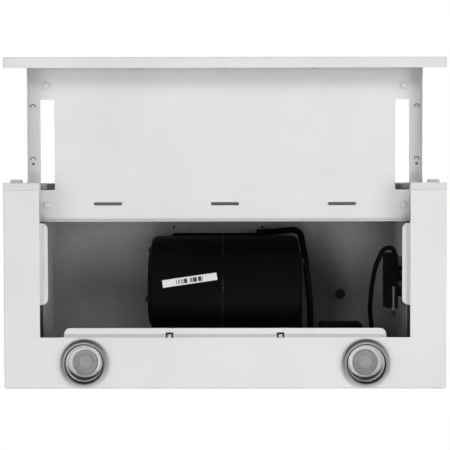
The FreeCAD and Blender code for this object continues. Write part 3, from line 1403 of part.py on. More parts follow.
def terminal_lid():
    lid = box(BOX_LEFT_X, BOX_RIGHT_X, BOX_FRONT_Y, BOX_REAR_Y, BOX_BOTTOM_Z - LID_THICKNESS, BOX_BOTTOM_Z)
    return upright_rounded(lid, BOX_WALL)


def box_screws():
    reach = SHEET + BOX_WALL + PAST
    return [placed_screw(point, -Z_AXIS, reach) for point in box_screw_points()]


def capacitor():
    y0 = BOX_FRONT_Y + BOX_WALL + BOX_PIECE_GAP
    x = BOX_RIGHT_X - BOX_WALL - CAPACITOR_RADIUS - BOX_PIECE_GAP
    z = BOX_BOTTOM_Z + CAPACITOR_RADIUS
    can = rod(CAPACITOR_RADIUS, Vector(x, y0, z), Vector(x, y0 + CAPACITOR_LENGTH, z))
    return rounded(can, CAPACITOR_ROUND, lambda edge, middle: not along(edge, Y_AXIS))


def terminal_block():
    x0 = BOX_LEFT_X + BOX_WALL + BOX_PIECE_GAP
    y0 = BOX_FRONT_Y + BOX_WALL + BOX_PIECE_GAP
    return box(x0, x0 + BLOCK_WIDTH, y0, y0 + BLOCK_LENGTH, BOX_BOTTOM_Z, BOX_BOTTOM_Z + BLOCK_HEIGHT)


def casing_screws():
    left = [mirrored(screw) for screw in guard_screws(LEFT_EAR_ANGLES)]
    return box_screws() + bracket_screws() + spigot_screws() + guard_screws(RIGHT_EAR_ANGLES) + left


# Mains gland in the ceiling

def gland_point(z):
    return Vector(GLAND_X, GLAND_Y, z)


def mains_gland():
    seat = CEILING_Z - EMBOSS_HEIGHT
    low = seat - GLAND_THICKNESS
    high = CASING_HEIGHT + GLAND_THICKNESS
    body = rod(GLAND_RADIUS, gland_point(low), gland_point(high))
    lower = rod(GLAND_FLANGE, gland_point(low), gland_point(seat))
    upper = rod(GLAND_FLANGE, gland_point(CASING_HEIGHT), gland_point(high))
    gland = fused([body, lower, upper])
    gland = rounded(gland, GLAND_THICKNESS / 2, lambda edge, middle: not along(edge, Z_AXIS)
                    and (near(middle.z, low) or near(middle.z, high)))
    return gland.cut(rod(GLAND_BORE, gland_point(low + GLAND_MEMBRANE), gland_point(high + PAST)))


# Leads: straight runs joined by tangent arcs

def route(points, radii):
    edges = []
    last = points[0]
    for before, corner, after, radius in zip(points, points[1:], points[2:], radii):
        back = (before - corner).normalize()
        ahead = (after - corner).normalize()
        half_angle = back.getAngle(ahead) / 2
        trim = radius / math.tan(half_angle)
        start = corner + back * trim
        end = corner + ahead * trim
        bisector = (back + ahead).normalize()
        middle = corner + bisector * (radius / math.sin(half_angle) - radius)
        if (start - last).Length > 0.01:
            edges.append(Part.LineSegment(last, start).toShape())
        edges.append(Part.Arc(start, middle, end).toShape())
        last = end
    edges.append(Part.LineSegment(last, points[-1]).toShape())
    return Part.Wire(edges)


def lead(name, points, radii, radius):
    path = route(points, radii)
    circle = Part.Wire(Part.Circle(points[0], points[1] - points[0], radius).toShape())
    tube = path.makePipeShell([circle], True, False)
    expected = math.pi * radius * radius * path.Length
    print(name, "length", round(path.Length, 1), "volume ratio", round(tube.Volume / expected, 4))
    print(name, "radii", radii)
    return tube


def motor_lead():
    # From the blower's boss over its front corner, along the right inlet and into the terminal box.
    side = BLOWER_X
    top = CEILING_Z
    boss_y = SCROLL_FRONT_Y - LEAD_BOSS_DEPTH / 2 - 1
    boss_z = top - FLANGE_THICKNESS - LEAD_BOSS_DROP - LEAD_BOSS_DEPTH / 2
    box_y = BOX_FRONT_Y + 34
    points = [Vector(LEAD_BOSS_X, boss_y, boss_z), Vector(LEAD_BOSS_X + 16, boss_y, boss_z)]
    points += [Vector(side + 4, boss_y - 5, top - 30), Vector(side + 10, SCROLL_Y - 44, top - 58)]
    points += [Vector(side + 17, SCROLL_Y + 22, top - 68), Vector(BOX_LEFT_X - 16, box_y - 12, top - 50)]
    points += [Vector(BOX_LEFT_X - 16, box_y, top - 22), Vector(BOX_LEFT_X, box_y, top - 22)]
    return lead("motor_lead", points, [26, 17, 50, 60, 25, 12], MOTOR_LEAD_RADIUS)


def switch_lead():
    # From the block's front end, back along its left side and up into the terminal box.
    x = SWITCH_X
    y = SWITCH_FRONT_Y
    z = SWITCH_Z
    start_x = x + SWITCH_WIDTH - 4.5
    box_x = BOX_RIGHT_X + 14
    box_y = BOX_FRONT_Y + 30
    box_z = BOX_BOTTOM_Z + 19
    points = [Vector(start_x, y, z + 8), Vector(start_x, y - 7.5, z + 8), Vector(x - 1, y - 7, z + 12)]
    points += [Vector(x - 12, y + 20, z + 18), Vector(x - 16, y + 50, z + 25), Vector(x - 17, y + 82, z + 37)]
    points += [Vector(box_x, box_y - 12, box_z - 28), Vector(box_x, box_y, box_z)]
    points += [Vector(BOX_RIGHT_X, box_y, box_z)]
    return lead("switch_lead", points, [6, 12, 80, 80, 60, 26, 10], SWITCH_LEAD_RADIUS)


def holder_top_z():
    return NECK_Z + REFLECTOR_WALL + HOLDER_HEIGHT


def lamp_lead_right():
    x = LAMP_X - HOLDER_RADIUS / 4
    bottom = Vector(x, LAMP_Y, holder_top_z())
    top = Vector(x, LAMP_Y, BOX_BOTTOM_Z - LID_THICKNESS)
    return rod(LAMP_LEAD_RADIUS, bottom, top)


def lamp_lead_points():
    y = REAR_WALL_Y - LAMP_LEAD_RADIUS - CLIP_WALL - LAMP_LEAD_GAP
    z = BOX_BOTTOM_Z + BOX_HEIGHT / 3
    start = holder_top_z()
    points = [Vector(-LAMP_X, LAMP_Y, start), Vector(-LAMP_X, LAMP_Y, start + 24)]
    return points + [Vector(-LAMP_X, y, start + 54), Vector(-LAMP_X, y, z), Vector(BOX_LEFT_X, y, z)]


def lamp_lead_left():
    return lead("lamp_lead_left", lamp_lead_points(), [20, 20, 24], LAMP_LEAD_RADIUS)


def lead_clips():
    end = lamp_lead_points()[-1]
    hole = LAMP_LEAD_RADIUS + CLIP_FIT
    half = hole + CLIP_WALL
    clips = []
    for x in LEAD_CLIP_XS:
        half_depth = CLIP_DEPTH / 2
        block = box(x - half_depth, x + half_depth, end.y - half, REAR_WALL_Y, end.z - half, end.z + half)
        bore_start = Vector(x - CLIP_DEPTH, end.y, end.z)
        clips.append(block.cut(rod(hole, bore_start, bore_start + X_AXIS * 2 * CLIP_DEPTH)))
    return clips


def build():
    os.makedirs("parts", exist_ok=True)
    save("lower_pan", lower_pan())
    save_pair("end_cap", end_cap())
    save_group("front_bumpers", bumpers())
    save("top_plate", top_plate())
    walls, top = motor_casing()
    save("casing_walls", walls)
    save("casing_top", top)
    save_pair("slide_outer", outer_rail())
    save_group("slide_cages", [ball_cage(), mirrored(ball_cage())])
    save_pair("slide_inner", inner_rail())
    save("visor_panel", visor_panel())
    save_group("visor_glides", visor_glides())
    save_group("visor_screws", rail_screws() + fascia_screws())
    save("front_fascia", front_fascia())
    save_group("fascia_ends", [fascia_end(), mirrored(fascia_end())])
    left, right = scroll_halves()
    save("scroll_left", left)
    save("scroll_right", right)
    save("scroll_clip", scroll_clip())
    save("blower_label", blower_label())
    save("inlet_guard_right", inlet_guard(RIGHT_EAR_ANGLES))
    save("inlet_guard_left", mirrored(inlet_guard(LEFT_EAR_ANGLES)))
    save("motor_can", motor_can())
    save("motor_cover", motor_cover())
    save_group("motor_bearings", motor_bearings())
    save("motor_stator", motor_stator())
    save("motor_rotor", motor_rotor())
    save("motor_spider", motor_spider())
    save("motor_shaft", motor_shaft())
    save_pair("impeller", impeller())
    save("outlet_spigot", outlet_spigot())
    save("flap_pin", flap_pin())
    front, rear = flaps()
    save("flap_front", front)
    save("flap_rear", rear)
    for side, x in (("left", -LAMP_X), ("right", LAMP_X)):
        save("lamp_bezel_" + side, lamp_bezel(x))
    save_group("lamp_lenses", [lamp_lens(-LAMP_X), lamp_lens(LAMP_X)])
    save_group("lamp_reflectors", [lamp_reflector(-LAMP_X), lamp_reflector(LAMP_X)])
    save_group("lamp_bulbs", [lamp_bulb(-LAMP_X), lamp_bulb(LAMP_X)])
    save_group("lamp_holders", [lamp_holder(-LAMP_X), lamp_holder(LAMP_X)])
    save_group("lamp_springs", lamp_springs())
    save("switch_block", switch_block())
    for name, y in zip(("low", "high", "light"), plunger_ys()):
        save("switch_key_" + name, plunger(y))
    save("switch_bracket", switch_bracket())
    save("switch_rod", switch_rod())
    save("switch_spring", switch_spring())
    save("terminal_box", terminal_box())
    save("terminal_lid", terminal_lid())
    save_group("body_fasteners", body_rivets() + casing_screws())
    save("capacitor", capacitor())
    save("terminal_block", terminal_block())
    save("mains_gland", mains_gland())
    save("motor_lead", motor_lead())
    save("switch_lead", switch_lead())
    save_group("lamp_leads", [lamp_lead_left(), lamp_lead_right()])
    save_group("lead_clips", lead_clips())


build()
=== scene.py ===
import json
import math

import bpy
from mathutils import Matrix, Vector


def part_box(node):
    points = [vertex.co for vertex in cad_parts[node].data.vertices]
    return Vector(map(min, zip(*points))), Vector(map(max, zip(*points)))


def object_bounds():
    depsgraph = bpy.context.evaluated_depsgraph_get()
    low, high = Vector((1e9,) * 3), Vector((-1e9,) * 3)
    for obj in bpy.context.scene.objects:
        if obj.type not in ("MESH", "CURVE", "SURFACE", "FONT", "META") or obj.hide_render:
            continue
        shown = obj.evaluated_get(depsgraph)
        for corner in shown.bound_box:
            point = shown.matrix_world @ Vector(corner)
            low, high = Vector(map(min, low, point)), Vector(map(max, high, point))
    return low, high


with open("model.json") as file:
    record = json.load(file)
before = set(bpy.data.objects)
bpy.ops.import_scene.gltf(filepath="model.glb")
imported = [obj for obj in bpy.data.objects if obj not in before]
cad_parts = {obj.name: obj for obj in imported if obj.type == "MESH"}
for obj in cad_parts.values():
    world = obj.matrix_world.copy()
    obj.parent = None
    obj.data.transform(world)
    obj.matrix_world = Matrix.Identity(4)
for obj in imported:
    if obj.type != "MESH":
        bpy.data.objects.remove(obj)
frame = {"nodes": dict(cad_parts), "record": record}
cad_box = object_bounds()

# Camera, fitted to the photograph's outlines; its place in metres, lens and sensor in millimetres
CAMERA_PLACE = Vector((0.0065, -0.1279, -1.545))
CAMERA_TILT = math.radians(1.73)
CAMERA_YAW = math.radians(-0.24)
CAMERA_ROLL = math.radians(-0.09)
CAMERA_LENS = 88.82
CAMERA_SENSOR = 36.0

# Studio lamps: place, width and height in metres and power in watts; all face the middle of the hood
LAMPS = {
    "front_lamp": (Vector((0.30, -1.50, -1.50)), 1.8, 0.9, 18.5),
    "right_lamp": (Vector((1.90, 0.10, -1.50)), 1.2, 1.2, 23.0),
    "left_lamp": (Vector((-1.90, 0.10, -1.50)), 1.2, 1.2, 20.0),
    "camera_lamp": (Vector((0.05, 1.15, -2.25)), 1.0, 1.0, 20.5),
    "top_lamp": (Vector((0.9, -1.3, 1.7)), 1.4, 1.4, 42.0),
    "rear_lamp": (Vector((-0.9, 1.5, 1.6)), 1.2, 1.2, 38.0),
}
LAMP_TARGET = Vector((0.0, -0.05, 0.0))
SEEN_IN_GLOSS = ("top_lamp",)
UNSEEN_THROUGH_GLASS = ("front_lamp",)

# World: the soft fill on surfaces, and the room in gloss and glass with its bright and its dark side
WHITE = (1.0, 1.0, 1.0, 1.0)
FILL_STRENGTH = 0.12
ROOM_BRIGHT_SIDE = Vector((0.3, 0.95, 0.0))
ROOM_BRIGHT = 0.9
ROOM_BRIGHT_FROM = 1.0
ROOM_DARK = 0.05
ROOM_DARK_FROM = -0.6

# Floor: half its width, the distances between which it fades to white, and its colour
FLOOR_REACH = 40.0
FLOOR_FADE = (0.45, 1.3)
FLOOR_COLOUR = (0.86, 0.86, 0.86, 1.0)

# Lamps of the hood: the axis of the right one, and the radii between which each ring comes or goes
lamp_low, lamp_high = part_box("lamp_bezel_right")
LAMP_X = (lamp_low[0] + lamp_high[0]) / 2
LAMP_Y = (lamp_low[1] + lamp_high[1]) / 2
LENS_BORDER = (0.0249, 0.0252)
BULB_FACE = (0.0078, 0.009)
BULB_RIM = (0.0136, 0.0148)
# Below these radii the reflector's neck is painted darker, as painted shade
REFLECTOR_BOWL = (0.0168, 0.0192)
REFLECTOR_MOUTH = (0.0235, 0.0243)
# Radii about that moved middle between which the reflector's painted dark reflection comes
REFLECTOR_PAINTED_DARK = (0.0242, 0.0256)

# How far in front of the lamp's axis the middle of the reflector's painted dark reflection lies
REFLECTOR_PAINTED_DARK_SHIFT = 0.0045

# Turn of the sticker on the blower
STICKER_TURN = math.radians(8.3)

# Painted shadow, a soft dark oval, on the casing beside the blower's right end, and how much of it
# shows
BLOWER_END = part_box("scroll_right")[1][0]
PAINTED_SHADOW = {"Middle_X": BLOWER_END + 0.027, "Middle_Y": 0.04, "Half_Width": 0.058, "Half_Length": 0.13}
PAINTED_SHADOW_SHARE = 0.75

# How much the clouds on zinc, the rolling lines on metal and its rubbed edges show
ZINC_CLOUD_SHARE = 0.5
LINE_SHARE = 0.25
RUB_SHARE = 0.35

# Edges flatter than this are shaded smooth
SMOOTH_ANGLE = math.radians(32)


def tone(red, green=None, blue=None):
    """A colour as it is read from a picture, 0 to 255, turned into the shader's own scale."""
    values = [red, red if green is None else green, red if blue is None else blue]
    linear = []
    for value in values:
        part = value / 255
        linear.append(part / 12.92 if part <= 0.04045 else ((part + 0.055) / 1.055) ** 2.4)
    return (*linear, 1.0)


# Node helpers
def put(tree, kind, values=None, **settings):
    """Adds a node; a value that is a socket is linked, any other is set."""
    node = tree.nodes.new(kind)
    for key, value in settings.items():
        setattr(node, key, value)
    for key, value in (values or {}).items():
        if isinstance(value, bpy.types.NodeSocket):
            tree.links.new(value, node.inputs[key])
        else:
            node.inputs[key].default_value = value
    return node


def maths(tree, operation, first, second=0.0, clamp=False):
    node = put(tree, "ShaderNodeMath", {0: first, 1: second}, operation=operation, use_clamp=clamp)
    return node.outputs[0]


def vector_maths(tree, operation, first, second=(0.0, 0.0, 0.0)):
    """A value for a dot product or a length, and a vector for the rest."""
    node = put(tree, "ShaderNodeVectorMath", {0: first, 1: second}, operation=operation)
    return node.outputs["Value" if operation in ("DOT_PRODUCT", "LENGTH") else "Vector"]


def axes(tree, vector):
    return put(tree, "ShaderNodeSeparateXYZ", {0: vector}).outputs


def from_middle(tree, across, along):
    """The distance from the middle, given how far across and how far along."""
    square = maths(tree, "ADD", maths(tree, "POWER", across, 2.0), maths(tree, "POWER", along, 2.0))
    return maths(tree, "SQRT", square)


def spread(tree, value, low, high):
    """A value from 0 to 1 spread over another range."""
    node = put(tree, "ShaderNodeMapRange", {"Value": value, "To Min": low, "To Max": high})
    return node.outputs["Result"]


def step(tree, value, start, end):
    """0 below start and 1 above end, with a soft rise between."""
    values = {"Value": value, "From Min": start, "From Max": end}
    node = put(tree, "ShaderNodeMapRange", values, interpolation_type="SMOOTHSTEP")
    return node.outputs["Result"]


def mixed(tree, factor, first, second):
    """A mix of two colours."""
    node = put(tree, "ShaderNodeMix", {0: factor, 6: first, 7: second}, data_type="RGBA")
    return node.outputs[2]


def blend(tree, factor, first, second):
    """A mix of two shaders."""
    return put(tree, "ShaderNodeMixShader", {0: factor, 1: first, 2: second}).outputs[0]


def noise(tree, place, scale, detail):
    return put(tree, "ShaderNodeTexNoise", {"Vector": place, "Scale": scale, "Detail": detail}).outputs


def own_coordinates(tree):
    return put(tree, "ShaderNodeTexCoord").outputs["Object"]


def surface_normal(tree):
    return put(tree, "ShaderNodeNewGeometry").outputs["Normal"]


# Shared surface effects
def effect(name, inputs, outputs):
    """A node group with its named sockets."""
    tree = bpy.data.node_groups.new(name, "ShaderNodeTree")
    for label, value in inputs.items():
        socket = tree.interface.new_socket(label, in_out="INPUT", socket_type="NodeSocketFloat")
        socket.default_value = value
    for label in outputs:
        tree.interface.new_socket(label, in_out="OUTPUT", socket_type="NodeSocketFloat")
    entry = tree.nodes.new("NodeGroupInput")
    end = tree.nodes.new("NodeGroupOutput")
    return tree, entry.outputs, end.inputs


def cloud_and_grain():
    """Slow patches of shade and a fine grain."""
    inputs = {"Cloud Scale": 8.0, "Cloud Start": 0.3, "Cloud End": 0.7, "Grain Scale": 900.0}
    tree, given, result = effect("cloud_and_grain", inputs, ["Cloud", "Grain"])
    place = own_coordinates(tree)
    cloud = noise(tree, place, given["Cloud Scale"], detail=4.0)[0]
    grain = noise(tree, place, given["Grain Scale"], detail=2.0)[0]
    tree.links.new(step(tree, cloud, given["Cloud Start"], given["Cloud End"]), result["Cloud"])
    tree.links.new(grain, result["Grain"])
    return tree


def edge_wear_and_highlight():
    """Where edges stand out: rubbed edges, and on some finishes a painted highlight."""
    inputs = {"Radius": 0.0012, "Strength": 3.0}
    inputs.update({"Patch Scale": 60.0, "Patch Start": 0.35, "Patch End": 0.65})
    tree, given, result = effect("edge_wear_and_highlight", inputs, ["Mask"])
    soft = put(tree, "ShaderNodeBevel", {"Radius": given["Radius"]}, samples=4).outputs[0]
    bend = maths(tree, "SUBTRACT", 1.0, vector_maths(tree, "DOT_PRODUCT", soft, surface_normal(tree)))
    patch = noise(tree, own_coordinates(tree), given["Patch Scale"], detail=2.0)[0]
    patch = step(tree, patch, given["Patch Start"], given["Patch End"])
    wear_and_highlight = maths(tree, "MULTIPLY", bend, given["Strength"])
    tree.links.new(maths(tree, "MULTIPLY", wear_and_highlight, patch, clamp=True), result["Mask"])
    return tree


def corner_shade_and_dust():
    """Darker where corners, joints and nearby parts close off the open sky: dust with painted shade."""
    inputs = {"Distance": 0.012, "Strength": 1.0, "Patch Scale": 45.0, "Thinnest": 0.7, "Thickest": 1.2}
    tree, given, result = effect("corner_shade_and_dust", inputs, ["Mask"])
    open_sky = put(tree, "ShaderNodeAmbientOcclusion", {"Distance": given["Distance"]}, samples=6)
    closed = maths(tree, "SUBTRACT", 1.0, open_sky.outputs["AO"])
    patch = noise(tree, own_coordinates(tree), given["Patch Scale"], detail=5.0)[0]
    dust_and_shade = maths(tree, "MULTIPLY", closed, spread(tree, patch, given["Thinnest"], given["Thickest"]))
    tree.links.new(maths(tree, "MULTIPLY", dust_and_shade, given["Strength"], clamp=True), result["Mask"])
    return tree


def zinc_spangle():
    """The crystal patches of galvanised sheet."""
    inputs = {"Scale": 140.0, "Wander": 0.006, "Wander Scale": 60.0}
    tree, given, result = effect("zinc_spangle", inputs, ["Shade", "Height"])
    place = own_coordinates(tree)
    wander = noise(tree, place, given["Wander Scale"], detail=3.0)["Color"]
    place = vector_maths(tree, "ADD", place, vector_maths(tree, "MULTIPLY", wander, given["Wander"]))
    cells = put(tree, "ShaderNodeTexVoronoi", {"Vector": place, "Scale": given["Scale"]}).outputs
    shade = put(tree, "ShaderNodeSeparateColor", {0: cells["Color"]})
    tree.links.new(shade.outputs[0], result["Shade"])
    tree.links.new(cells["Distance"], result["Height"])
    return tree


def brush_lines():
    """Fine straight lines left by rolling or brushing, along the axes with a value below 1."""
    inputs = {"Along X": 1.0, "Along Y": 1.0, "Along Z": 1.0, "Scale": 700.0}
    tree, given, result = effect("brush_lines", inputs, ["Shade"])
    stretch = {0: given["Along X"], 1: given["Along Y"], 2: given["Along Z"]}
    stretch = put(tree, "ShaderNodeCombineXYZ", stretch).outputs[0]
    place = vector_maths(tree, "MULTIPLY", own_coordinates(tree), stretch)
    tree.links.new(noise(tree, place, given["Scale"], detail=3.0)[0], result["Shade"])
    return tree


def lamp_rings():
    """Rings about the axis of each lamp, and the distance from it."""
    inputs = {"Scale": 1800.0, "Lamp X": LAMP_X, "Lamp Y": LAMP_Y}
    tree, given, result = effect("lamp_rings", inputs, ["Shade", "Radius"])
    place = axes(tree, own_coordinates(tree))
    across = maths(tree, "SUBTRACT", maths(tree, "ABSOLUTE", place[0]), given["Lamp X"])
    along = maths(tree, "SUBTRACT", place[1], given["Lamp Y"])
    radius = from_middle(tree, across, along)
    rings = put(tree, "ShaderNodeCombineXYZ", {0: radius, 1: place[2]}).outputs[0]
    tree.links.new(noise(tree, rings, given["Scale"], detail=2.0)[0], result["Shade"])
    tree.links.new(radius, result["Radius"])
    return tree


def underside():
    """Faces that look down."""
    tree, given, result = effect("underside", {"Steepest": -0.5}, ["Mask"])
    facing = axes(tree, surface_normal(tree))
    tree.links.new(maths(tree, "LESS_THAN", facing[2], given["Steepest"]), result["Mask"])
    return tree


def painted_shadow_patch():
    """One soft oval of painted shadow with an uneven edge."""
    inputs = {"Middle X": 0.0, "Middle Y": 0.0, "Half Width": 0.05, "Half Length": 0.1}
    inputs.update({"Core": 0.4, "Rim": 1.2, "Edge Scale": 30.0, "Edge Least": -0.12, "Edge Most": 0.12})
    tree, given, result = effect("painted_shadow_patch", inputs, ["Mask"])
    place = axes(tree, own_coordinates(tree))
    across = maths(tree, "SUBTRACT", place[0], given["Middle X"])
    across = maths(tree, "DIVIDE", across, given["Half Width"])
    along = maths(tree, "SUBTRACT", place[1], given["Middle Y"])
    along = maths(tree, "DIVIDE", along, given["Half Length"])
    edge = noise(tree, own_coordinates(tree), given["Edge Scale"], detail=3.0)[0]
    edge = spread(tree, edge, given["Edge Least"], given["Edge Most"])
    reach = maths(tree, "ADD", from_middle(tree, across, along), edge)
    clean = step(tree, reach, given["Core"], given["Rim"])
    tree.links.new(maths(tree, "SUBTRACT", 1.0, clean), result["Mask"])
    return tree


def sticker_bars():
    """Bars of uneven width in the sticker's middle, square to its long side."""
    inputs = {"Bar Width": 0.0009, "Gap Share": 0.42, "Half Length": 0.020, "Half Height": 0.0031}
    tree, given, result = effect("sticker_bars", inputs, ["Mask"])
    low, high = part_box("blower_label")
    middle = tuple((a + b) / 2 for a, b in zip(low, high))
    away = vector_maths(tree, "SUBTRACT", own_coordinates(tree), middle)
    turn = {"Vector": away, "Angle": STICKER_TURN}
    turned = put(tree, "ShaderNodeVectorRotate", turn, rotation_type="Z_AXIS").outputs[0]
    place = axes(tree, turned)
    count = maths(tree, "FLOOR", maths(tree, "DIVIDE", place[0], given["Bar Width"]))
    chance = put(tree, "ShaderNodeTexWhiteNoise", {"W": count}, noise_dimensions="1D").outputs["Value"]
    dark = maths(tree, "GREATER_THAN", chance, given["Gap Share"])
    in_length = maths(tree, "LESS_THAN", maths(tree, "ABSOLUTE", place[0]), given["Half Length"])
    in_height = maths(tree, "LESS_THAN", maths(tree, "ABSOLUTE", place[1]), given["Half Height"])
    inside = maths(tree, "MULTIPLY", in_length, in_height)
    tree.links.new(maths(tree, "MULTIPLY", dark, inside), result["Mask"])
    return tree


EFFECTS = {
    maker.__name__: maker()
    for maker in (
        cloud_and_grain, edge_wear_and_highlight, corner_shade_and_dust, zinc_spangle, brush_lines,
        lamp_rings, underside, painted_shadow_patch, sticker_bars,
    )
}


class Finish:
    """One material: its node tree and its Principled shader."""

    def __init__(self, name, **constants):
        self.material = bpy.data.materials.new(name)
        self.material.use_nodes = True
        self.tree = self.material.node_tree
        self.shader = self.tree.nodes["Principled BSDF"]
        for label, value in constants.items():
            self.shader.inputs[label.replace("_", " ")].default_value = value

    def use(self, name, **values):
        """Adds a shared effect and gives its outputs."""
        node = self.tree.nodes.new("ShaderNodeGroup")
        node.node_tree = EFFECTS[name]
        for label, value in values.items():
            node.inputs[label.replace("_", " ")].default_value = value
        return node.outputs

    def feed(self, label, socket):
        self.tree.links.new(socket, self.shader.inputs[label])

    def bump(self, height, distance, strength=1.0):
        values = {"Height": height, "Distance": distance, "Strength": strength}
        self.feed("Normal", put(self.tree, "ShaderNodeBump", values).outputs[0])


def moulded(
    name, colour, shade, rough, grain_scale, grain_height, wear_and_highlight, dust_and_shade, dust_and_shade_reach=0.012, **constants
):
    """Two near tones with grain; the edge wear with painted highlight and the corner dust with painted
    shade each give a colour and how much of it shows.
    """
    wear_and_highlight_colour, wear_and_highlight_share = wear_and_highlight
    dust_and_shade_colour, dust_and_shade_strength = dust_and_shade
    finish = Finish(name, **constants)
    tree = finish.tree
    base = finish.use("cloud_and_grain", Grain_Scale=grain_scale)
    edge_mask = finish.use("edge_wear_and_highlight")["Mask"]
    corners = finish.use("corner_shade_and_dust", Distance=dust_and_shade_reach, Strength=dust_and_shade_strength)["Mask"]
    paint = mixed(tree, base["Cloud"], colour, shade)
    paint = mixed(tree, maths(tree, "MULTIPLY", edge_mask, wear_and_highlight_share), paint, wear_and_highlight_colour)
    finish.feed("Base Color", mixed(tree, corners, paint, dust_and_shade_colour))
    finish.feed("Roughness", spread(tree, base["Cloud"], *rough))
    finish.bump(base["Grain"], grain_height)
    return finish.material


def sheet_metal(name, colour, shade, rough, lines, line_height, dust_and_shade, metallic=1.0):
    """Bare metal with fine rolling lines; the corner dust with painted shade gives a colour and how
    much of it shows.
    """
    rubbed = tone(225)
    dust_and_shade_colour, dust_and_shade_strength = dust_and_shade
    finish = Finish(name, Metallic=metallic)
    tree = finish.tree
    base = finish.use("cloud_and_grain", Cloud_Scale=14.0)
    along = finish.use("brush_lines", **lines)["Shade"]
    edge_mask = finish.use("edge_wear_and_highlight", Strength=2.0)["Mask"]
    corners = finish.use("corner_shade_and_dust", Strength=dust_and_shade_strength)["Mask"]
    paint = mixed(tree, base["Cloud"], colour, shade)
    paint = mixed(tree, maths(tree, "MULTIPLY", along, LINE_SHARE), paint, shade)
    paint = mixed(tree, maths(tree, "MULTIPLY", edge_mask, RUB_SHARE), paint, rubbed)
    finish.feed("Base Color", mixed(tree, corners, paint, dust_and_shade_colour))
    finish.feed("Roughness", spread(tree, along, *rough))
    finish.bump(along, line_height)
    return finish.material


# Finishes, one for each material slot of the part
def white_paint():
    return moulded(
        "white_paint",
        colour=tone(220, 220, 219),
        shade=tone(215),
        rough=(0.34, 0.42),
        grain_scale=1400.0,
        grain_height=0.00006,
        wear_and_highlight=(tone(236), 0.25),
        # The wide dark corner mask here is painted shade along walls and taller parts, with dust in
        # tight corners
        dust_and_shade=(tone(150, 149, 147), 0.7),
        dust_and_shade_reach=0.03,
    )


def white_plastic():
    return moulded(
        "white_plastic",
        colour=tone(213, 213, 212),
        shade=tone(208, 208, 207),
        rough=(0.42, 0.5),
        grain_scale=2600.0,
        grain_height=0.00004,
        wear_and_highlight=(tone(232), 0.2),
        dust_and_shade=(tone(160, 158, 154), 0.3),
    )


def galvanised():
    """Zinc-coated sheet, darker in its corners with dust and painted shade and, on its undersides, a
    wide painted shade and one painted shadow.
    """
    finish = Finish("galvanised", Metallic=0.15, Specular_IOR_Level=0.25)
    tree = finish.tree
    base = finish.use("cloud_and_grain", Cloud_Scale=5.0, Grain_Scale=500.0)
    spangle = finish.use("zinc_spangle", Scale=120.0)
    below = finish.use("underside")["Mask"]
    dust_and_shade = finish.use("corner_shade_and_dust", Distance=0.03, Strength=0.4)["Mask"]
    wide_painted_shade = finish.use("corner_shade_and_dust", Distance=0.10, Strength=0.7)["Mask"]
    painted_shadow = maths(tree, "MULTIPLY", finish.use("painted_shadow_patch", **PAINTED_SHADOW)["Mask"], below)
    clouds = maths(tree, "MULTIPLY", base["Cloud"], ZINC_CLOUD_SHARE)
    paint = mixed(tree, spangle["Shade"], tone(178, 178, 179), tone(184, 184, 185))
    paint = mixed(tree, clouds, paint, tone(172, 172, 173))
    # Painted shade: undersides darken by the wide mask, other faces by the narrow one, which also holds
    # dust
    paint = mixed(tree, spread(tree, below, dust_and_shade, wide_painted_shade), paint, tone(60))
    # Painted shadow beside the blower's right end, on undersides only
    paint = mixed(tree, maths(tree, "MULTIPLY", painted_shadow, PAINTED_SHADOW_SHARE), paint, tone(30))
    finish.feed("Base Color", paint)
    finish.feed("Roughness", spread(tree, spangle["Shade"], low=0.5, high=0.62))
    finish.bump(spangle["Height"], distance=0.0001, strength=0.3)
    return finish.material


def zinc_steel():
    return sheet_metal(
        "zinc_steel",
        colour=tone(200, 202, 204),
        shade=tone(172, 174, 178),
        rough=(0.24, 0.42),
        lines={"Along_Y": 0.04},
        line_height=0.00003,
        # The near-black corner mask here is painted shade in its recesses, with some dust
        dust_and_shade=(tone(26), 1.5),
        metallic=0.5,
    )


def black_plastic():
    return moulded(
        "black_plastic",
        colour=tone(13),
        shade=tone(8),
        rough=(0.4, 0.52),
        grain_scale=1900.0,
        grain_height=0.00006,
        # The grey on its edges is a painted highlight
        wear_and_highlight=(tone(92), 0.9),
        dust_and_shade=(tone(20), 0.2),
        Specular_IOR_Level=0.05,
    )


def black_steel():
    return moulded(
        "black_steel",
        colour=tone(30),
        shade=tone(22),
        rough=(0.34, 0.46),
        grain_scale=1200.0,
        grain_height=0.00005,
        wear_and_highlight=(tone(74), 0.5),
        dust_and_shade=(tone(20), 0.3),
        Specular_IOR_Level=0.2,
    )


def grey_rubber():
    return moulded(
        "grey_rubber",
        colour=tone(218),
        shade=tone(210),
        rough=(0.66, 0.8),
        grain_scale=2400.0,
        grain_height=0.0001,
        wear_and_highlight=(tone(226), 0.3),
        dust_and_shade=(tone(160), 0.3),
    )


def black_rubber():
    return moulded(
        "black_rubber",
        colour=tone(20),
        shade=tone(14),
        rough=(0.6, 0.75),
        grain_scale=2400.0,
        grain_height=0.00012,
        wear_and_highlight=(tone(46), 0.4),
        dust_and_shade=(tone(34), 0.3),
    )


def lead_sheath():
    return moulded(
        "lead_sheath",
        colour=tone(15),
        shade=tone(9),
        rough=(0.42, 0.56),
        grain_scale=1500.0,
        grain_height=0.00012,
        wear_and_highlight=(tone(30), 0.3),
        dust_and_shade=(tone(14), 0.2),
        Specular_IOR_Level=0.06,
    )


def sticker():
    """Plain white sticker with a row of bars across its middle."""
    finish = Finish("sticker", Roughness=0.5)
    tree = finish.tree
    base = finish.use("cloud_and_grain", Cloud_Scale=40.0, Grain_Scale=2400.0)
    bars = finish.use("sticker_bars")["Mask"]
    paper = mixed(tree, base["Cloud"], tone(218), tone(211))
    finish.feed("Base Color", mixed(tree, bars, paper, tone(52)))
    finish.bump(base["Grain"], distance=0.00005)
    return finish.material


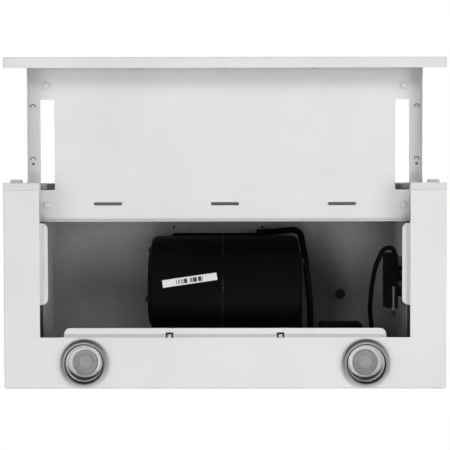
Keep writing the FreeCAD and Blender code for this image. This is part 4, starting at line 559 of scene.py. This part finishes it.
def motor_steel():
    return sheet_metal(
        "motor_steel",
        colour=tone(176),
        shade=tone(158),
        rough=(0.3, 0.45),
        lines={"Along_X": 0.05},
        line_height=0.00004,
        dust_and_shade=(tone(70), 0.5),
    )


def iron_core():
    return sheet_metal(
        "iron_core",
        colour=tone(118),
        shade=tone(98),
        rough=(0.45, 0.6),
        lines={"Along_Y": 0.02, "Along_Z": 0.02},
        line_height=0.0001,
        dust_and_shade=(tone(50), 0.6),
        metallic=0.9,
    )


def rotor_aluminium():
    return sheet_metal(
        "rotor_aluminium",
        colour=tone(200),
        shade=tone(180),
        rough=(0.35, 0.5),
        lines={"Along_X": 0.1},
        line_height=0.00005,
        dust_and_shade=(tone(90), 0.5),
    )


def shaft_steel():
    return sheet_metal(
        "shaft_steel",
        colour=tone(206),
        shade=tone(190),
        rough=(0.18, 0.3),
        lines={"Along_Y": 0.05, "Along_Z": 0.05},
        line_height=0.00002,
        dust_and_shade=(tone(90), 0.4),
    )


def bearing_bronze():
    return sheet_metal(
        "bearing_bronze",
        colour=tone(193, 169, 130),
        shade=tone(170, 146, 104),
        rough=(0.35, 0.5),
        lines={"Along_X": 0.2},
        line_height=0.00004,
        dust_and_shade=(tone(80, 64, 44), 0.5),
    )


def impeller_plastic():
    return moulded(
        "impeller_plastic",
        colour=tone(96, 96, 98),
        shade=tone(84, 84, 86),
        rough=(0.44, 0.56),
        grain_scale=1800.0,
        grain_height=0.00006,
        wear_and_highlight=(tone(128), 0.4),
        dust_and_shade=(tone(58), 0.4),
    )


def chrome_trim():
    """Turned metal with rings about each lamp's axis."""
    finish = Finish("chrome_trim", Metallic=1.0)
    tree = finish.tree
    base = finish.use("cloud_and_grain", Cloud_Scale=30.0, Grain_Scale=1500.0)
    rings = finish.use("lamp_rings", Scale=2600.0)["Shade"]
    corners = finish.use("corner_shade_and_dust", Distance=0.004, Strength=0.6)["Mask"]
    paint = mixed(tree, base["Cloud"], tone(208, 208, 209), tone(198, 198, 200))
    finish.feed("Base Color", mixed(tree, corners, paint, tone(60)))
    finish.feed("Roughness", spread(tree, rings, low=0.24, high=0.38))
    finish.bump(rings, distance=0.00003)
    return finish.material


def lamp_glass():
    """Clear lens with a dark border."""
    finish = Finish("lamp_glass", Transmission_Weight=1.0, IOR=1.3)
    tree = finish.tree
    base = finish.use("cloud_and_grain", Cloud_Scale=60.0, Grain_Scale=700.0)
    rings = finish.use("lamp_rings", Scale=500.0)
    border = step(tree, rings["Radius"], *LENS_BORDER)
    clear = mixed(tree, base["Cloud"], tone(249, 248, 247), tone(244, 243, 242))
    finish.feed("Base Color", mixed(tree, border, clear, tone(6)))
    finish.feed("Roughness", spread(tree, base["Cloud"], low=0.03, high=0.08))
    finish.bump(rings["Shade"], distance=0.00002)
    return finish.material


def reflector():
    """Satin bowl with painted shade at its neck and a painted dark reflection, a crescent low on its
    rear side.
    """
    finish = Finish("reflector", Metallic=0.2)
    tree = finish.tree
    base = finish.use("cloud_and_grain", Cloud_Scale=50.0, Grain_Scale=900.0)
    rings = finish.use("lamp_rings", Scale=900.0)
    shifted = finish.use("lamp_rings", Lamp_Y=LAMP_Y - REFLECTOR_PAINTED_DARK_SHIFT)["Radius"]
    within = maths(tree, "SUBTRACT", 1.0, step(tree, rings["Radius"], *REFLECTOR_MOUTH))
    painted_dark_crescent = maths(tree, "MULTIPLY", step(tree, shifted, *REFLECTOR_PAINTED_DARK), within)
    bowl = mixed(tree, base["Cloud"], tone(253), tone(248))
    # Painted shade at the neck
    bowl = mixed(tree, step(tree, rings["Radius"], *REFLECTOR_BOWL), tone(205), bowl)
    # Painted dark reflection low on the rear side
    finish.feed("Base Color", mixed(tree, painted_dark_crescent, bowl, tone(70)))
    finish.feed("Roughness", spread(tree, rings["Shade"], low=0.34, high=0.46))
    finish.bump(base["Grain"], distance=0.0001)
    return finish.material


def bulb_glass():
    """Frosted face with a paler disc in its middle and a paler rim."""
    finish = Finish("bulb_glass", Transmission_Weight=0.2, IOR=1.47)
    tree = finish.tree
    base = finish.use("cloud_and_grain", Cloud_Scale=120.0, Grain_Scale=1800.0)
    rings = finish.use("lamp_rings", Scale=700.0)
    outside = step(tree, rings["Radius"], *BULB_FACE)
    rim = step(tree, rings["Radius"], *BULB_RIM)
    disc = mixed(tree, base["Cloud"], tone(208), tone(198))
    face = mixed(tree, outside, disc, tone(178))
    finish.feed("Base Color", mixed(tree, rim, face, tone(212)))
    finish.feed("Roughness", spread(tree, base["Grain"], low=0.3, high=0.5))
    half_and_half = 0.5
    finish.bump(spread(tree, half_and_half, rings["Shade"], outside), distance=0.0003)
    return finish.material


def holder_ceramic():
    return moulded(
        "holder_ceramic",
        colour=tone(226, 222, 212),
        shade=tone(214, 210, 200),
        rough=(0.3, 0.42),
        grain_scale=1600.0,
        grain_height=0.00006,
        wear_and_highlight=(tone(236, 233, 226), 0.3),
        dust_and_shade=(tone(150, 144, 132), 0.4),
    )


def spring_steel():
    return sheet_metal(
        "spring_steel",
        colour=tone(122),
        shade=tone(102),
        rough=(0.3, 0.46),
        lines={"Along_Y": 0.1},
        line_height=0.00003,
        dust_and_shade=(tone(60), 0.5),
        metallic=0.45,
    )


FINISHES = {
    maker.__name__: maker()
    for maker in (
        white_paint, white_plastic, galvanised, zinc_steel, black_plastic, black_steel,
        grey_rubber, black_rubber, lead_sheath, sticker, motor_steel, iron_core,
        rotor_aluminium, shaft_steel, bearing_bronze, impeller_plastic, chrome_trim,
        lamp_glass, reflector, bulb_glass, holder_ceramic, spring_steel,
    )
}


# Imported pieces
def smooth_shading():
    """A node group that shades flat edges smooth and keeps sharp ones."""
    tree = bpy.data.node_groups.new("smooth_shading", "GeometryNodeTree")
    tree.interface.new_socket("Geometry", in_out="INPUT", socket_type="NodeSocketGeometry")
    tree.interface.new_socket("Geometry", in_out="OUTPUT", socket_type="NodeSocketGeometry")
    entry = tree.nodes.new("NodeGroupInput")
    end = tree.nodes.new("NodeGroupOutput")
    angle = tree.nodes.new("GeometryNodeInputMeshEdgeAngle").outputs[0]
    flat = put(tree, "FunctionNodeCompare", {0: angle, 1: SMOOTH_ANGLE}, operation="LESS_EQUAL")
    by_edge = {0: entry.outputs[0], 2: flat.outputs[0]}
    edges = put(tree, "GeometryNodeSetShadeSmooth", by_edge, domain="EDGE")
    by_face = {0: edges.outputs[0], 2: True}
    faces = put(tree, "GeometryNodeSetShadeSmooth", by_face, domain="FACE")
    tree.links.new(faces.outputs[0], end.inputs[0])
    return tree


def dress_packed_pieces():
    """Gives each piece the finish of its material slot and shades it smooth."""
    smooth = smooth_shading()
    for part in frame["record"]["subparts"]:
        piece = frame["nodes"][part["node"]]
        piece.data.materials.clear()
        piece.data.materials.append(FINISHES[part["material_slot"]])
        piece.modifiers.new("smooth_shading", "NODES").node_group = smooth


# Stage
def add_lamp(name, place, width, height, watts):
    light = bpy.data.lights.new(name, "AREA")
    light.shape = "RECTANGLE"
    light.size = width
    light.size_y = height
    light.energy = watts
    lamp = bpy.data.objects.new(name, light)
    bpy.context.scene.collection.objects.link(lamp)
    lamp.location = place
    lamp.rotation_euler = (LAMP_TARGET - place).to_track_quat("-Z", "Y").to_euler()
    lamp.visible_camera = False
    lamp.visible_glossy = name in SEEN_IN_GLOSS
    lamp.visible_transmission = name not in UNSEEN_THROUGH_GLASS


def background(tree, strength):
    return put(tree, "ShaderNodeBackground", {"Color": WHITE, "Strength": strength}).outputs[0]


def studio_world():
    """White behind the hood, a soft fill on surfaces, and in gloss and glass a room dark in front."""
    world = bpy.data.worlds.new("studio")
    bpy.context.scene.world = world
    world.use_nodes = True
    tree = world.node_tree
    tree.nodes.clear()
    path = put(tree, "ShaderNodeLightPath").outputs
    toward = put(tree, "ShaderNodeTexCoord").outputs["Generated"]
    grade = {
        "Value": vector_maths(tree, "DOT_PRODUCT", toward, ROOM_BRIGHT_SIDE),
        "From Min": ROOM_DARK_FROM,
        "From Max": ROOM_BRIGHT_FROM,
        "To Min": ROOM_DARK,
        "To Max": ROOM_BRIGHT,
    }
    room = background(tree, put(tree, "ShaderNodeMapRange", grade).outputs["Result"])
    fill = background(tree, FILL_STRENGTH)
    white = background(tree, 1.0)
    mirrored = maths(tree, "MAXIMUM", path["Is Glossy Ray"], path["Is Transmission Ray"])
    lit = blend(tree, mirrored, fill, room)
    put(tree, "ShaderNodeOutputWorld", {"Surface": blend(tree, path["Is Camera Ray"], lit, white)})


def floor_finish():
    """Pale floor that only a camera above it sees, so the view from below looks through it."""
    material = bpy.data.materials.new("floor")
    material.use_nodes = True
    tree = material.node_tree
    tree.nodes.clear()
    backside = put(tree, "ShaderNodeNewGeometry").outputs["Backfacing"]
    camera_ray = put(tree, "ShaderNodeLightPath").outputs["Is Camera Ray"]
    shown = maths(tree, "MULTIPLY", camera_ray, maths(tree, "SUBTRACT", 1.0, backside))
    clear = put(tree, "ShaderNodeBsdfTransparent").outputs[0]
    pale = put(tree, "ShaderNodeBsdfDiffuse", {"Color": FLOOR_COLOUR}).outputs[0]
    white = put(tree, "ShaderNodeEmission", {"Color": WHITE, "Strength": 1.0}).outputs[0]
    far = step(tree, vector_maths(tree, "LENGTH", own_coordinates(tree)), *FLOOR_FADE)
    seen = blend(tree, far, pale, white)
    put(tree, "ShaderNodeOutputMaterial", {"Surface": blend(tree, shown, clear, seen)})
    return material


def add_floor():
    """A floor at the hood's lowest point; it casts no shadow, so the corner dust and painted shade
    effect doesn't count it.
    """
    low = cad_box[0][2]
    corners = [(-1, -1), (1, -1), (1, 1), (-1, 1)]
    mesh = bpy.data.meshes.new("floor")
    mesh.from_pydata([(x * FLOOR_REACH, y * FLOOR_REACH, low) for x, y in corners], [], [(0, 1, 2, 3)])
    floor = bpy.data.objects.new("floor", mesh)
    bpy.context.scene.collection.objects.link(floor)
    mesh.materials.append(floor_finish())
    floor.visible_shadow = False


def add_camera():
    sight = Vector((math.sin(CAMERA_YAW), math.sin(CAMERA_TILT), math.cos(CAMERA_TILT))).normalized()
    right = sight.cross(Vector((0, -1, 0))).normalized()
    upward = right.cross(sight)
    side = right * math.cos(CAMERA_ROLL) + upward * math.sin(CAMERA_ROLL)
    top = upward * math.cos(CAMERA_ROLL) - right * math.sin(CAMERA_ROLL)
    lens = bpy.data.cameras.new("camera")
    lens.lens = CAMERA_LENS
    lens.sensor_width = CAMERA_SENSOR
    camera = bpy.data.objects.new("camera", lens)
    bpy.context.scene.collection.objects.link(camera)
    turn = Matrix((side, top, -sight)).transposed().to_4x4()
    camera.matrix_world = Matrix.Translation(CAMERA_PLACE) @ turn
    bpy.context.scene.camera = camera


def set_stage():
    bpy.context.scene.view_settings.view_transform = "Standard"
    studio_world()
    add_floor()
    for name, (place, width, height, watts) in LAMPS.items():
        add_lamp(name, place, width, height, watts)
    add_camera()


dress_packed_pieces()
set_stage()
